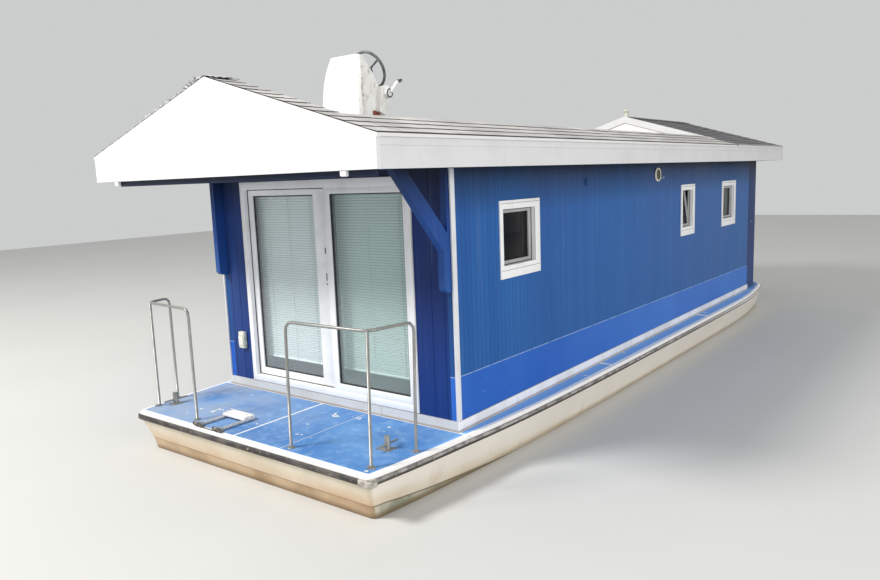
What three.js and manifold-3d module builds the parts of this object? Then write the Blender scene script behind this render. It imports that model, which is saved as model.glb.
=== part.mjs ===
import * as THREE from 'three';
import { mergeVertices } from 'three/addons/utils/BufferGeometryUtils.js';
import Module from 'manifold-3d';

// Houseboat: shallow scow hull, timber cabin, flat roof deck with a helm, outboard on the stern.
// Millimetres. x to port, y aft from the cabin's front wall, z up from the deck.
// The outer group then sets the keel on z = 0 and the middle of the boat on x = y = 0.

const wasm = await Module();
wasm.setup();

const GAP = 0.3;

// Hull
const DECK_HEIGHT = 650;
const BOW_Y = -1095;
const STERN_Y = 9476;
const RAIL_PROUD = 18;
const RAIL_TOP = -30;
const RAIL_BOTTOM = -76;

// Cabin
const CABIN_HALF = 1470;
const CABIN_LENGTH = 8310;
const WALL = 60;
const WALL_TOP = 2150 - GAP;
const PLINTH_TOP = 88;
const PLINTH_THICK = 18;

// Roof
const ROOF_HALF = 1735;
const ROOF_FRONT = -1114;
const ROOF_BACK = 9385;
const SOFFIT = 2150;
const FASCIA_BOTTOM = 2141;
const FASCIA_TOP = 2346;
const SLAB_TOP = 2330;
const APEX = 2873;
const BOARD = 30;
const SHINGLE = 27;
const EAVE_LIP = 10;
const EDGE_LAP = 8;
const SKIRT_INNER = 1190;
const CAP_BACK = -870;
const GABLE_WALL_Y = 6684;
const RAKE = (APEX - FASCIA_TOP) / ROOF_HALF;

// Front sliding door
const DOOR_LEFT = -1112;
const DOOR_RIGHT = 1071;
const DOOR_BOTTOM = 94;
const DOOR_TOP = 2094;
const DOOR_SILL = 60;
const DOOR_JAMB = 56;
const DOOR_HEAD = 74;
const DOOR_OUT = -15;
const DOOR_IN = 90;
const LEAF_FRONT = 34;
const LEAF_BACK = 74;
const LEAF_RIGHT = 62;

// Stern door
const STERN_DOOR_HALF = 400;
const STERN_DOOR_TOP = 2000;
const STERN_DOOR_THICK = 40;

// Windows
const WINDOW_BOTTOM = 1170;
const WINDOW_TOP = 1852;
const WINDOW_LAP = 15;
const WINDOW_PROUD = 14;

// Outboard motor
const PAD_BACK = 9560;
const TILT_Y = 9536;
const TILT_Z = 52;
const STEER_Y = 9632;
const LEG_Y = 9712;
const PLATE_Z = -380;
const PROP_Z = -505;
const SKEG_Z = -634;
const COWL_BACK = 9970;
const GEARCASE_FRONT = 9640;
const GEARCASE_LENGTH = 172;

const MIDDLE_Y = (ROOF_FRONT - EDGE_LAP + COWL_BACK) / 2;

const COLOURS = {
  gelcoat: 0xd8cdb8, rubber: 0x3c3c3c, white: 0xe8e8e6, blue: 0x2a5aa8, navy: 0x1c3570,
  shingle: 0x77777c, pvc: 0xececea, steel: 0xb0b0b0, console: 0xf0f0ec, black: 0x1a1a1c,
  slat: 0xdfe6e2, timber: 0x6d5a42, motor: 0x24262a, alloy: 0x8f9499,
};

const boat = new THREE.Group();
boat.position.set(0, -MIDDLE_Y, DECK_HEIGHT);

function solid(geometry) {
  const bare = geometry.clone();
  bare.deleteAttribute('normal');
  bare.deleteAttribute('uv');
  const merged = mergeVertices(bare, 1e-4);
  const vertProperties = new Float32Array(merged.attributes.position.array);
  const triVerts = new Uint32Array(merged.index.array);
  return new wasm.Manifold(new wasm.Mesh({ numProp: 3, vertProperties, triVerts }));
}

function geometryOf(manifold) {
  const mesh = manifold.getMesh();
  const geometry = new THREE.BufferGeometry();
  geometry.setAttribute('position', new THREE.BufferAttribute(new Float32Array(mesh.vertProperties), 3));
  geometry.setIndex(new THREE.BufferAttribute(new Uint32Array(mesh.triVerts), 1));
  geometry.computeVertexNormals();
  return geometry;
}

function joined(...geometries) {
  return geometryOf(geometries.map(solid).reduce((whole, piece) => whole.add(piece)));
}

function cut(geometry, ...tools) {
  return geometryOf(tools.map(solid).reduce((whole, tool) => whole.subtract(tool), solid(geometry)));
}

function add(name, geometry, colour, roughness = 0.6, metalness = 0) {
  const material = new THREE.MeshStandardMaterial({ color: COLOURS[colour], roughness, metalness });
  const mesh = new THREE.Mesh(geometry, material);
  mesh.name = name;
  boat.add(mesh);
  return mesh;
}

function box(x0, x1, y0, y1, z0, z1) {
  const geometry = new THREE.BoxGeometry(x1 - x0, y1 - y0, z1 - z0);
  return geometry.translate((x0 + x1) / 2, (y0 + y1) / 2, (z0 + z1) / 2);
}

function shapeOf(points) {
  return new THREE.Shape(points.map(([u, v]) => new THREE.Vector2(u, v)));
}

// Outline in (y, z), drawn out along x
function prismX(outline, x0, x1) {
  const geometry = new THREE.ExtrudeGeometry(shapeOf(outline), { depth: x1 - x0, bevelEnabled: false });
  const turn = new THREE.Matrix4().set(0, 0, 1, x0, 1, 0, 0, 0, 0, 1, 0, 0, 0, 0, 0, 1);
  return geometry.applyMatrix4(turn);
}

// Outline in (x, z), drawn out along y
function prismY(outline, y0, y1) {
  const geometry = new THREE.ExtrudeGeometry(shapeOf(outline), { depth: y1 - y0, bevelEnabled: false });
  const turn = new THREE.Matrix4().set(1, 0, 0, 0, 0, 0, -1, y1, 0, 1, 0, 0, 0, 0, 0, 1);
  return geometry.applyMatrix4(turn);
}

function mirrored(geometry) {
  const copy = geometry.index ? geometry.toNonIndexed() : geometry.clone();
  copy.scale(-1, 1, 1);
  const position = copy.attributes.position;
  for (let i = 0; i < position.count; i += 3) {
    const second = [position.getX(i + 1), position.getY(i + 1), position.getZ(i + 1)];
    position.setXYZ(i + 1, position.getX(i + 2), position.getY(i + 2), position.getZ(i + 2));
    position.setXYZ(i + 2, ...second);
  }
  const bare = new THREE.BufferGeometry();
  bare.setAttribute('position', position);
  bare.computeVertexNormals();
  return bare;
}

function rod(from, to, radius, sides = 10) {
  const start = new THREE.Vector3(...from);
  const along = new THREE.Vector3(...to).sub(start);
  const geometry = new THREE.CylinderGeometry(radius, radius, along.length(), sides);
  geometry.translate(0, along.length() / 2, 0);
  const turn = new THREE.Quaternion();
  turn.setFromUnitVectors(new THREE.Vector3(0, 1, 0), along.clone().normalize());
  return geometry.applyQuaternion(turn).translate(...from);
}

// Closed stack of outlines with equal point counts, lowest first, running anticlockwise seen from above
function stack(levels) {
  const count = levels[0].length;
  const positions = levels.flat(2);
  const index = [];
  for (let level = 0; level < levels.length - 1; level += 1) {
    for (let i = 0; i < count; i += 1) {
      const a = level * count + i;
      const b = level * count + ((i + 1) % count);
      index.push(a, b, b + count, a, b + count, a + count);
    }
  }
  const flat = levels[0].map(([x, y]) => new THREE.Vector2(x, y));
  const top = (levels.length - 1) * count;
  for (const [a, b, c] of THREE.ShapeUtils.triangulateShape(flat, [])) {
    index.push(a, c, b, top + a, top + b, top + c);
  }
  const geometry = new THREE.BufferGeometry();
  geometry.setAttribute('position', new THREE.BufferAttribute(new Float32Array(positions), 3));
  geometry.setIndex(index);
  return geometry;
}

// Hull

// Deck edge: [y, half breadth]
const WIDEST = 1704;
const DECK_EDGE = [
  [BOW_Y, 1436], [-1085, 1468], [-1040, 1486], [-950, 1500], [-800, 1520], [-500, 1553], [-100, 1588],
  [400, 1630], [1000, 1662], [1800, 1684], [3000, 1697], [4600, 1702], [6000, WIDEST], [6900, 1701],
  [7500, 1688], [8000, 1655], [8650, 1582], [9080, 1500], [9310, 1350], [9435, 1130], [STERN_Y, 850],
];
const EDGE_STEPS = 3 * (DECK_EDGE.length - 1);

// Hull levels: [z, inset at the side, set-back at the bow, set-back at the stern, drop, inset added].
// From the bow aft, the knuckle and the strake below it drop and draw in by the last two.
const HULL_LEVELS = [
  [-650, 260, 600, 170, 0, 0], [-575, 160, 340, 70, 30, 40], [-480, 110, 190, 30, 75, 50],
  [-381, 76, 114, 12, 120, 52], [-271, 60, 88, 0, 160, 54], [-85, 0, 14, 0, 0, 0],
  [-20, 0, 0, 0, 0, 0], [0, 14, 14, 14, 0, 0],
];
const DROP_START = -900;
const DROP_LENGTH = 1400;

const edgeCurve = new THREE.CatmullRomCurve3(
  DECK_EDGE.map(([y, half]) => new THREE.Vector3(half, y, 0)), false, 'centripetal');
const portEdge = edgeCurve.getPoints(EDGE_STEPS).map((point) => [point.x, point.y]);
const deckOutline = [...portEdge, ...portEdge.map(([x, y]) => [-x, y]).reverse()];

function hullOutline(z, inset, bowBack, sternBack, drop, draw) {
  const lengthScale = (STERN_Y - sternBack - BOW_Y - bowBack) / (STERN_Y - BOW_Y);
  return deckOutline.map(([x, y]) => {
    const share = 1 - Math.exp(-Math.max(y - DROP_START, 0) / DROP_LENGTH);
    return [
      x * (1 - (inset + draw * share) / WIDEST),
      BOW_Y + bowBack + (y - BOW_Y) * lengthScale,
      z - drop * share,
    ];
  });
}

function offsetOutline(outline, distance, z) {
  return outline.map(([x, y], i) => {
    const before = outline[(i + outline.length - 1) % outline.length];
    const after = outline[(i + 1) % outline.length];
    const along = new THREE.Vector2(after[0] - before[0], after[1] - before[1]).normalize();
    return [x + along.y * distance, y - along.x * distance, z];
  });
}

const hull = stack(HULL_LEVELS.map((level) => hullOutline(...level)));
add('hull', hull, 'gelcoat', 0.35);

const railOuter = stack([
  offsetOutline(deckOutline, RAIL_PROUD - 8, RAIL_BOTTOM),
  offsetOutline(deckOutline, RAIL_PROUD, RAIL_BOTTOM + 10),
  offsetOutline(deckOutline, RAIL_PROUD, RAIL_TOP - 10),
  offsetOutline(deckOutline, RAIL_PROUD - 8, RAIL_TOP),
]);
const railInner = stack([
  offsetOutline(deckOutline, GAP, RAIL_BOTTOM - 10),
  offsetOutline(deckOutline, GAP, RAIL_TOP + 10),
]);
add('rub_rail', cut(railOuter, railInner), 'rubber', 0.85);

// Cabin walls

function hole(x0, x1, y0, y1, z0, z1) {
  return box(x0 - GAP, x1 + GAP, y0 - GAP, y1 + GAP, z0 - GAP, z1 + GAP);
}

// Windows: [number, y forward, y aft]
const WINDOWS = [[1, 688, 1373], [2, 5112, 5642], [3, 6860, 7545]];

const windowHoles = WINDOWS.map(([, y0, y1]) => hole(
  CABIN_HALF - 2 * WALL, CABIN_HALF + WALL, y0 + WINDOW_LAP, y1 - WINDOW_LAP,
  WINDOW_BOTTOM + WINDOW_LAP, WINDOW_TOP - WINDOW_LAP));

// Smooth band along the foot of the side walls, its top edge falling from bow to stern
const BAND_PROUD = 4;
const BAND_BOW = 456;
const BAND_STERN = 406;
const band = prismX([
  [0, PLINTH_TOP + GAP], [CABIN_LENGTH, PLINTH_TOP + GAP], [CABIN_LENGTH, BAND_STERN], [0, BAND_BOW],
], CABIN_HALF - 1, CABIN_HALF + BAND_PROUD);

// V grooves between the upright boards
const BOARD_PITCH = 127;
const GROOVE_HALF = 5;
const GROOVE_DEPTH = 4.5;
function groove([x, y], outward, z0) {
  const across = [-outward[1], outward[0]];
  const point = (out, side) => [
    x + outward[0] * out + across[0] * side, y + outward[1] * out + across[1] * side,
  ];
  const shape = shapeOf([point(-GROOVE_DEPTH, 0), point(1, -GROOVE_HALF - 1), point(1, GROOVE_HALF + 1)]);
  const depth = WALL_TOP + 1 - z0;
  return new THREE.ExtrudeGeometry(shape, { depth, bevelEnabled: false }).translate(0, 0, z0);
}
const sideGrooves = [];
for (let y = BOARD_PITCH / 2; y < CABIN_LENGTH - 20; y += BOARD_PITCH) {
  const ledge = BAND_BOW + (BAND_STERN - BAND_BOW) * y / CABIN_LENGTH;
  sideGrooves.push(groove([CABIN_HALF, y], [1, 0], ledge));
}
const wallBoards = joined(box(CABIN_HALF - WALL, CABIN_HALF, 0, CABIN_LENGTH, 0, WALL_TOP), band);
const wallPort = cut(wallBoards, ...windowHoles, ...sideGrooves);
add('wall_port', wallPort, 'blue', 0.55);
add('wall_starboard', mirrored(wallPort), 'blue', 0.55);

const END_HALF = CABIN_HALF - WALL - GAP;
const FRONT_GROOVES = [1247, 1374].flatMap((x) => [x, -x]);
add('wall_front', cut(
  box(-END_HALF, END_HALF, 0, WALL, 0, WALL_TOP),
  hole(DOOR_LEFT, DOOR_RIGHT, -WALL, 2 * WALL, DOOR_BOTTOM, DOOR_TOP),
  ...FRONT_GROOVES.map((x) => groove([x, 0], [0, -1], PLINTH_TOP)),
), 'navy', 0.55);
const HINGE_X = STERN_DOOR_HALF + 1;
const HINGE_Y = CABIN_LENGTH + 12;
const HINGE_Z = [300, 1050, 1800];
const KNUCKLE = 60;

// One half of each hinge: a knuckle on the pin's line and the plate that holds it
function knuckles(side, base) {
  return HINGE_Z.map((z) => joined(
    rod([HINGE_X, HINGE_Y, z + base], [HINGE_X, HINGE_Y, z + base + KNUCKLE - GAP], 8),
    box(...[HINGE_X, HINGE_X + 45 * side].sort((a, b) => a - b), CABIN_LENGTH - 2, CABIN_LENGTH + 10,
      z + base, z + base + KNUCKLE - GAP),
  ));
}
const STERN_GROOVES = [560, 687, 814, 941, 1068, 1195, 1322].flatMap((x) => [x, -x]);
const sternWall = cut(
  box(-END_HALF, END_HALF, CABIN_LENGTH - WALL, CABIN_LENGTH, 0, WALL_TOP),
  box(-STERN_DOOR_HALF - 6, STERN_DOOR_HALF + 6, CABIN_LENGTH - 2 * WALL, CABIN_LENGTH + WALL,
    PLINTH_TOP, STERN_DOOR_TOP + 6),
  ...STERN_GROOVES.map((x) => groove([x, CABIN_LENGTH], [0, 1], 0)),
);
add('wall_stern', joined(sternWall, ...knuckles(1, 0)), 'navy', 0.55);

const PLINTH_HALF = CABIN_HALF + PLINTH_THICK;
const plinth = new THREE.ExtrudeGeometry(shapeOf([
  [-PLINTH_HALF, -PLINTH_THICK], [PLINTH_HALF, -PLINTH_THICK], [PLINTH_HALF, CABIN_LENGTH],
  [CABIN_HALF + GAP, CABIN_LENGTH], [CABIN_HALF + GAP, -GAP], [-CABIN_HALF - GAP, -GAP],
  [-CABIN_HALF - GAP, CABIN_LENGTH], [-PLINTH_HALF, CABIN_LENGTH],
]), { depth: PLINTH_TOP, bevelEnabled: false });
add('plinth', plinth, 'white', 0.5);

// Screens that carry the roof's corners over the stern deck
const SCREEN_DEPTH = 500;
const screen = box(CABIN_HALF - 65, CABIN_HALF - 20, CABIN_LENGTH + GAP, CABIN_LENGTH + SCREEN_DEPTH,
  0, WALL_TOP);
add('screen_port', screen, 'navy', 0.6);
add('screen_starboard', mirrored(screen), 'navy', 0.6);

// Front brackets at the corners, outline in (y, z): the port one has a strut under the roof's overhang
const BRACKET_FOOT = [[-105, 1200], [-75, 1172], [-45, 1165]];
const bracketPort = prismX([
  [-GAP, 1165], [-GAP, WALL_TOP], [-50, WALL_TOP], [-50, 1640], [-530, WALL_TOP], [-675, WALL_TOP],
  [-110, 1505], [-105, 1500], ...BRACKET_FOOT,
], CABIN_HALF - 62, CABIN_HALF - 2);
add('bracket_port', bracketPort, 'blue', 0.6);
const bracketStarboard = prismX([
  [-GAP, 1165], [-GAP, WALL_TOP], [-105, WALL_TOP], ...BRACKET_FOOT,
], 2 - CABIN_HALF, 62 - CABIN_HALF);
add('bracket_starboard', bracketStarboard, 'blue', 0.6);

// Windows: white frame and sash round one pane

function windowUnit(y0, y1) {
  const out = CABIN_HALF + WINDOW_PROUD;
  const inn = CABIN_HALF - WALL;
  const lap = WINDOW_LAP;
  const flange = box(CABIN_HALF + GAP, out, y0, y1, WINDOW_BOTTOM, WINDOW_TOP);
  const body = box(inn, CABIN_HALF + 1, y0 + lap, y1 - lap, WINDOW_BOTTOM + lap, WINDOW_TOP - lap);
  const frame = 70;
  const sash = 100;
  const outerWell = box(CABIN_HALF - 22, out + 1, y0 + frame, y1 - frame, WINDOW_BOTTOM + frame + 40,
    WINDOW_TOP - frame);
  const innerWell = box(inn - 1, inn + 20, y0 + frame, y1 - frame, WINDOW_BOTTOM + frame,
    WINDOW_TOP - frame);
  const pane = box(CABIN_HALF - 34, out + 1, y0 + sash, y1 - sash, WINDOW_BOTTOM + sash + 30,
    WINDOW_TOP - sash);
  return cut(joined(flange, body), outerWell, innerWell, pane);
}

for (const [number, y0, y1] of WINDOWS) {
  const unit = windowUnit(y0, y1);
  add(`window_port_${number}`, unit, 'pvc', 0.35);
  add(`window_starboard_${number}`, mirrored(unit), 'pvc', 0.35);
}

// Front door: a frame, a fixed sash to port and a leaf that slides behind it

const OPEN_LEFT = DOOR_LEFT + DOOR_JAMB;
const OPEN_RIGHT = DOOR_RIGHT - DOOR_JAMB;
const OPEN_BOTTOM = DOOR_BOTTOM + DOOR_SILL;
const OPEN_TOP = DOOR_TOP - DOOR_HEAD;
const FIXED_LEFT = 62;
const FIXED_BACK = LEAF_FRONT - 6;
const RUNNER = 6;
const STILE = 68;

const doorRing = cut(
  box(DOOR_LEFT, DOOR_RIGHT, DOOR_OUT, DOOR_IN, DOOR_BOTTOM, DOOR_TOP),
  box(OPEN_LEFT, OPEN_RIGHT, DOOR_OUT - 1, DOOR_IN + 1, OPEN_BOTTOM, OPEN_TOP),
);
const runner = box(OPEN_LEFT + 1, OPEN_RIGHT - 1, 50, 58, OPEN_BOTTOM - 1, OPEN_BOTTOM + RUNNER);
add('door_frame', joined(doorRing, runner), 'pvc', 0.35);

add('door_fixed', cut(
  box(FIXED_LEFT, OPEN_RIGHT - GAP, DOOR_OUT + 5, FIXED_BACK, OPEN_BOTTOM + GAP, OPEN_TOP - GAP),
  box(FIXED_LEFT + STILE, OPEN_RIGHT - 30, DOOR_OUT, 4, OPEN_BOTTOM + STILE, OPEN_TOP - 56),
  box(FIXED_LEFT + STILE, OPEN_RIGHT - 30, 22, FIXED_BACK + 1, OPEN_BOTTOM + STILE, OPEN_TOP - 56),
), 'pvc', 0.35);

const LEAF_LEFT = OPEN_LEFT + 6;
const LEAF_BOTTOM = OPEN_BOTTOM + RUNNER + GAP;
const LEAF_TOP = OPEN_TOP - 6;
const leafWell = (y0, y1) => box(LEAF_LEFT + STILE, -126, y0, y1, LEAF_BOTTOM + STILE, LEAF_TOP - 56);
const leafBody = cut(
  box(LEAF_LEFT, LEAF_RIGHT, LEAF_FRONT, LEAF_BACK, LEAF_BOTTOM, LEAF_TOP),
  leafWell(LEAF_FRONT - 1, LEAF_FRONT + 10),
  leafWell(LEAF_FRONT + 26, LEAF_BACK + 1),
);
add('door_leaf', leafBody, 'pvc', 0.35);

// Blinds behind the panes: [name, x left, x right]
const BLINDS = [['blind_starboard', -1010, -110], ['blind_port', -60, 1010]];
for (const [name, x0, x1] of BLINDS) {
  const slats = box(x0, x1, 104, 124, 330, 1990);
  const head = box(x0, x1, WALL + GAP, 128, 2096, 2150 - 2 * GAP);
  const tapes = box(x0, x1, 108, 120, 1985, 2100);
  add(name, joined(slats, tapes, head), 'slat', 0.5);
}

// Stern door, hinged on its port edge
const sternLeaf = box(-STERN_DOOR_HALF, STERN_DOOR_HALF, CABIN_LENGTH - STERN_DOOR_THICK, CABIN_LENGTH,
  PLINTH_TOP + 6, STERN_DOOR_TOP);
const sternLight = box(-STERN_DOOR_HALF + 110, STERN_DOOR_HALF - 110, CABIN_LENGTH - 12, CABIN_LENGTH + 1,
  1150, STERN_DOOR_TOP - 120);
const KNOB_X = -STERN_DOOR_HALF + 60;
const sternKnob = rod([KNOB_X, CABIN_LENGTH - 5, 1050], [KNOB_X, CABIN_LENGTH + 45, 1050], 14);
add('stern_door', joined(cut(sternLeaf, sternLight), sternKnob, ...knuckles(-1, KNUCKLE)), 'pvc', 0.4);

// Roof

const slab = box(-ROOF_HALF + BOARD + GAP, ROOF_HALF - BOARD - GAP, ROOF_FRONT + BOARD + GAP,
  ROOF_BACK - BOARD - GAP, SOFFIT, SLAB_TOP);
add('roof_slab', slab, 'navy', 0.7);

const fascia = prismY([
  [ROOF_HALF - BOARD, FASCIA_BOTTOM], [ROOF_HALF - 8, FASCIA_BOTTOM], [ROOF_HALF - 8, FASCIA_TOP - 52],
  [ROOF_HALF, FASCIA_TOP - 52], [ROOF_HALF, FASCIA_TOP], [ROOF_HALF - BOARD, FASCIA_TOP],
], ROOF_FRONT + BOARD + GAP, ROOF_BACK - BOARD - GAP);
add('fascia_port', fascia, 'white', 0.5);
add('fascia_starboard', mirrored(fascia), 'white', 0.5);

const gableOutline = [
  [-ROOF_HALF, FASCIA_BOTTOM], [ROOF_HALF, FASCIA_BOTTOM], [ROOF_HALF, FASCIA_TOP], [0, APEX],
  [-ROOF_HALF, FASCIA_TOP],
];
add('gable_bow', prismY(gableOutline, ROOF_FRONT, ROOF_FRONT + BOARD), 'white', 0.5);
add('gable_stern', prismY(gableOutline, ROOF_BACK - BOARD, ROOF_BACK), 'white', 0.5);

// Shingled gables stand on the slab and lap the fascias
const EDGE_HALF = ROOF_HALF - BOARD - GAP;
const LIP_HALF = ROOF_HALF + EAVE_LIP;
const ridge = APEX + SHINGLE;
const shingledGable = (y0, y1) => prismY([
  [-EDGE_HALF, SLAB_TOP + GAP], [EDGE_HALF, SLAB_TOP + GAP], [EDGE_HALF, FASCIA_TOP + GAP],
  [LIP_HALF, FASCIA_TOP + GAP], [LIP_HALF, ridge - RAKE * LIP_HALF], [0, ridge],
  [-LIP_HALF, ridge - RAKE * LIP_HALF], [-LIP_HALF, FASCIA_TOP + GAP], [-EDGE_HALF, FASCIA_TOP + GAP],
], y0, y1);
// The shingles lap the top edge of the gable board
const edgeLap = (y0, y1) => prismY([
  [-LIP_HALF, APEX + GAP - RAKE * LIP_HALF], [0, APEX + 2 * GAP], [LIP_HALF, APEX + GAP - RAKE * LIP_HALF],
  [LIP_HALF, ridge - RAKE * LIP_HALF], [0, ridge], [-LIP_HALF, ridge - RAKE * LIP_HALF],
], y0, y1);
const BOW_INSIDE = ROOF_FRONT + BOARD + GAP;
const STERN_INSIDE = ROOF_BACK - BOARD - GAP;
add('roof_bow', joined(
  shingledGable(BOW_INSIDE, CAP_BACK), edgeLap(ROOF_FRONT - EDGE_LAP, BOW_INSIDE + 1),
), 'shingle', 0.9);
add('roof_stern', joined(
  shingledGable(GABLE_WALL_Y + BOARD + GAP, STERN_INSIDE), edgeLap(STERN_INSIDE - 1, ROOF_BACK + EDGE_LAP),
), 'shingle', 0.9);

// White gable wall that closes the stern roof towards the roof deck
const wallPeak = ridge - 12;
add('gable_wall', prismY([
  [-EDGE_HALF, SLAB_TOP + GAP], [EDGE_HALF, SLAB_TOP + GAP], [EDGE_HALF, wallPeak - RAKE * EDGE_HALF],
  [0, wallPeak], [-EDGE_HALF, wallPeak - RAKE * EDGE_HALF],
], GABLE_WALL_Y, GABLE_WALL_Y + BOARD), 'white', 0.5);

// Low shingled skirts along both sides of the roof deck
const skirt = prismY([
  [SKIRT_INNER, SLAB_TOP + GAP], [EDGE_HALF, SLAB_TOP + GAP], [EDGE_HALF, FASCIA_TOP + GAP],
  [LIP_HALF, FASCIA_TOP + GAP], [LIP_HALF, ridge - RAKE * LIP_HALF],
  [SKIRT_INNER, ridge - RAKE * SKIRT_INNER],
], CAP_BACK + GAP, GABLE_WALL_Y - GAP);
add('skirt_port', skirt, 'shingle', 0.9);
add('skirt_starboard', mirrored(skirt), 'shingle', 0.9);

// Helm on the roof deck

// Console levels: [z, half width, y front, y aft]
const CONSOLE_LEVELS = [
  [SLAB_TOP + GAP, 264, 318, 660], [2720, 256, 332, 660], [2855, 248, 340, 660], [2960, 240, 352, 610],
  [3060, 224, 368, 564], [3135, 204, 386, 528], [3205, 178, 402, 495],
];
const CORNER = 26;
const consoleLevel = ([z, half, front, aft]) => {
  const bevel = Math.min(CORNER, (aft - front) / 3);
  return [
    [-half + bevel, front, z], [half - bevel, front, z], [half, front + bevel, z], [half, aft - bevel, z],
    [half - bevel, aft, z], [-half + bevel, aft, z], [-half, aft - bevel, z], [-half, front + bevel, z],
  ];
};
// Steering wheel's axle stands square to the console's sloping back
const WHEEL_R = 178;
const WHEEL_OFF = 190;
const WHEEL_SEAT = [0, 582, 3027];
const BOSS_LENGTH = 80;
const wheelTurn = new THREE.Quaternion().setFromUnitVectors(
  new THREE.Vector3(0, 0, 1), new THREE.Vector3(0, 0.9, 0.43589));
const onAxle = (geometry) => geometry.applyQuaternion(wheelTurn).translate(...WHEEL_SEAT);
const boss = onAxle(rod([0, 0, -40], [0, 0, BOSS_LENGTH], 38, 16));
add('helm_console', joined(stack(CONSOLE_LEVELS.map(consoleLevel)), boss), 'console', 0.4);

// Engine control, its back cut to lie on the console's port side
const CONTROL_FACE = 312;
const sideFace = stack(CONSOLE_LEVELS.map(([z, half, front, aft]) => consoleLevel(
  [z, half + GAP, front, aft + 200])));
const controlBody = cut(prismX([
  [522, 2692], [607, 2660], [706, 2862], [690, 2908], [640, 2932], [592, 2924], [578, 2905],
], CONTROL_FACE - 82, CONTROL_FACE), sideFace);
const hub = rod([CONTROL_FACE - 5, 632, 2857], [CONTROL_FACE + 40, 632, 2857], 42, 20);
const lever = rod([CONTROL_FACE + 30, 640, 2866], [CONTROL_FACE + 38, 745, 2972], 11);
const grip = rod([CONTROL_FACE + 38, 738, 2966], [CONTROL_FACE + 42, 812, 2982], 14);
add('helm_control', joined(controlBody, hub, lever, grip), 'console', 0.5);

const wheelParts = [];
const rim = new THREE.TorusGeometry(WHEEL_R, 14, 8, 36);
wheelParts.push(rim.translate(0, 0, WHEEL_OFF));
for (const angle of [90, 210, 330]) {
  const turn = THREE.MathUtils.degToRad(angle);
  const out = WHEEL_R - 4;
  const tip = [out * Math.cos(turn), out * Math.sin(turn), WHEEL_OFF];
  wheelParts.push(rod([0, 0, WHEEL_OFF - 20], tip, 10, 8));
}
wheelParts.push(rod([0, 0, BOSS_LENGTH + GAP], [0, 0, WHEEL_OFF - 4], 26, 14));
add('steering_wheel', onAxle(joined(...wheelParts)), 'black', 0.5);

// Bow fittings

const TUBE_R = 12.5;
// Handrail, its posts given as [x, y] at the deck, its top leaning outward
function handrail([front, corner, side], top, lean) {
  const bend = 70;
  const toward = ([x0, y0], [x1, y1], distance) => {
    const length = Math.hypot(x1 - x0, y1 - y0);
    return [x0 + (x1 - x0) * distance / length, y0 + (y1 - y0) * distance / length];
  };
  const at = ([x, y], z) => new THREE.Vector3(x + lean * z / top, y, z);
  const path = new THREE.CurvePath();
  const low = top - bend;
  path.add(new THREE.LineCurve3(at(front, 4), at(front, low)));
  path.add(new THREE.QuadraticBezierCurve3(at(front, low), at(front, top),
    at(toward(front, corner, bend), top)));
  path.add(new THREE.LineCurve3(at(toward(front, corner, bend), top), at(toward(corner, front, bend), top)));
  path.add(new THREE.QuadraticBezierCurve3(at(toward(corner, front, bend), top), at(corner, top),
    at(toward(corner, side, bend), top)));
  path.add(new THREE.LineCurve3(at(toward(corner, side, bend), top), at(toward(side, corner, bend), top)));
  path.add(new THREE.QuadraticBezierCurve3(at(toward(side, corner, bend), top), at(side, top),
    at(side, low)));
  path.add(new THREE.LineCurve3(at(side, low), at(side, 4)));
  const ring = new THREE.Shape();
  ring.absarc(0, 0, TUBE_R, 0, Math.PI * 2);
  const tube = new THREE.ExtrudeGeometry(ring, {
    extrudePath: path, steps: 66, curveSegments: 5, bevelEnabled: false,
  });
  const feet = [front, corner, side].map(([x, y]) => rod([x, y, GAP], [x, y, 8], 34, 12));
  const inside = toward(corner, [0, 0], 12);
  const post = rod(at(inside, 4).toArray(), at(inside, top - 2).toArray(), TUBE_R);
  return joined(tube, post, ...feet);
}
const railPort = handrail([[555, -990], [1387, -958], [1458, -532]], 1020, 30);
add('handrail_port', railPort, 'steel', 0.3, 0.9);
const railStarboard = mirrored(handrail([[724, -965], [1437, -905], [1500, -650]], 1010, 0));
add('handrail_starboard', railStarboard, 'steel', 0.3, 0.9);

// Cross-bar bollards: [name, x, y]
const BOLLARDS = [
  ['bollard_bow_port', 1235, -610], ['bollard_bow_starboard', -1350, -770],
  ['bollard_stern_port', 1240, 9130], ['bollard_stern_starboard', -1240, 9130],
];
for (const [name, x, y] of BOLLARDS) {
  add(name, joined(
    box(x - 50, x + 50, y - 50, y + 50, GAP, 8),
    rod([x, y, 4], [x, y, 112], 25, 12),
    rod([x, y - 122, 46], [x, y + 122, 46], 9, 8),
  ), 'steel', 0.4, 0.8);
}

// Boarding ladder, folded inboard on the bow deck; it swings up and over the bow rail
const LADDER_AXIS_Y = -1100;
const LADDER_AXIS_Z = 42;
const LADDER_TUBE_Z = 19;
const LADDER_END = -690;
const LADDER_X = [-548, -275];
const lugs = LADDER_X.flatMap((x) => [-30, 22].map((side) => prismX([
  [LADDER_AXIS_Y + 20, 2], [LADDER_AXIS_Y + 70, 2], [LADDER_AXIS_Y + 10, LADDER_AXIS_Z + 12],
  [LADDER_AXIS_Y - 10, LADDER_AXIS_Z + 12], [LADDER_AXIS_Y - 10, LADDER_AXIS_Z - 12],
], x + side, x + side + 8)));
const lugPins = LADDER_X.map((x) => rod([x - 26, LADDER_AXIS_Y, LADDER_AXIS_Z],
  [x + 26, LADDER_AXIS_Y, LADDER_AXIS_Z], 5, 12));
const lugBases = LADDER_X.flatMap((x) => [-34, 20].map((side) => box(x + side, x + side + 14,
  LADDER_AXIS_Y + 22, LADDER_AXIS_Y + 72, GAP, 6)));
const lugBar = box(LADDER_X[0] - 34, LADDER_X[1] + 34, LADDER_AXIS_Y + 22, LADDER_AXIS_Y + 36, GAP, 5);
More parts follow.
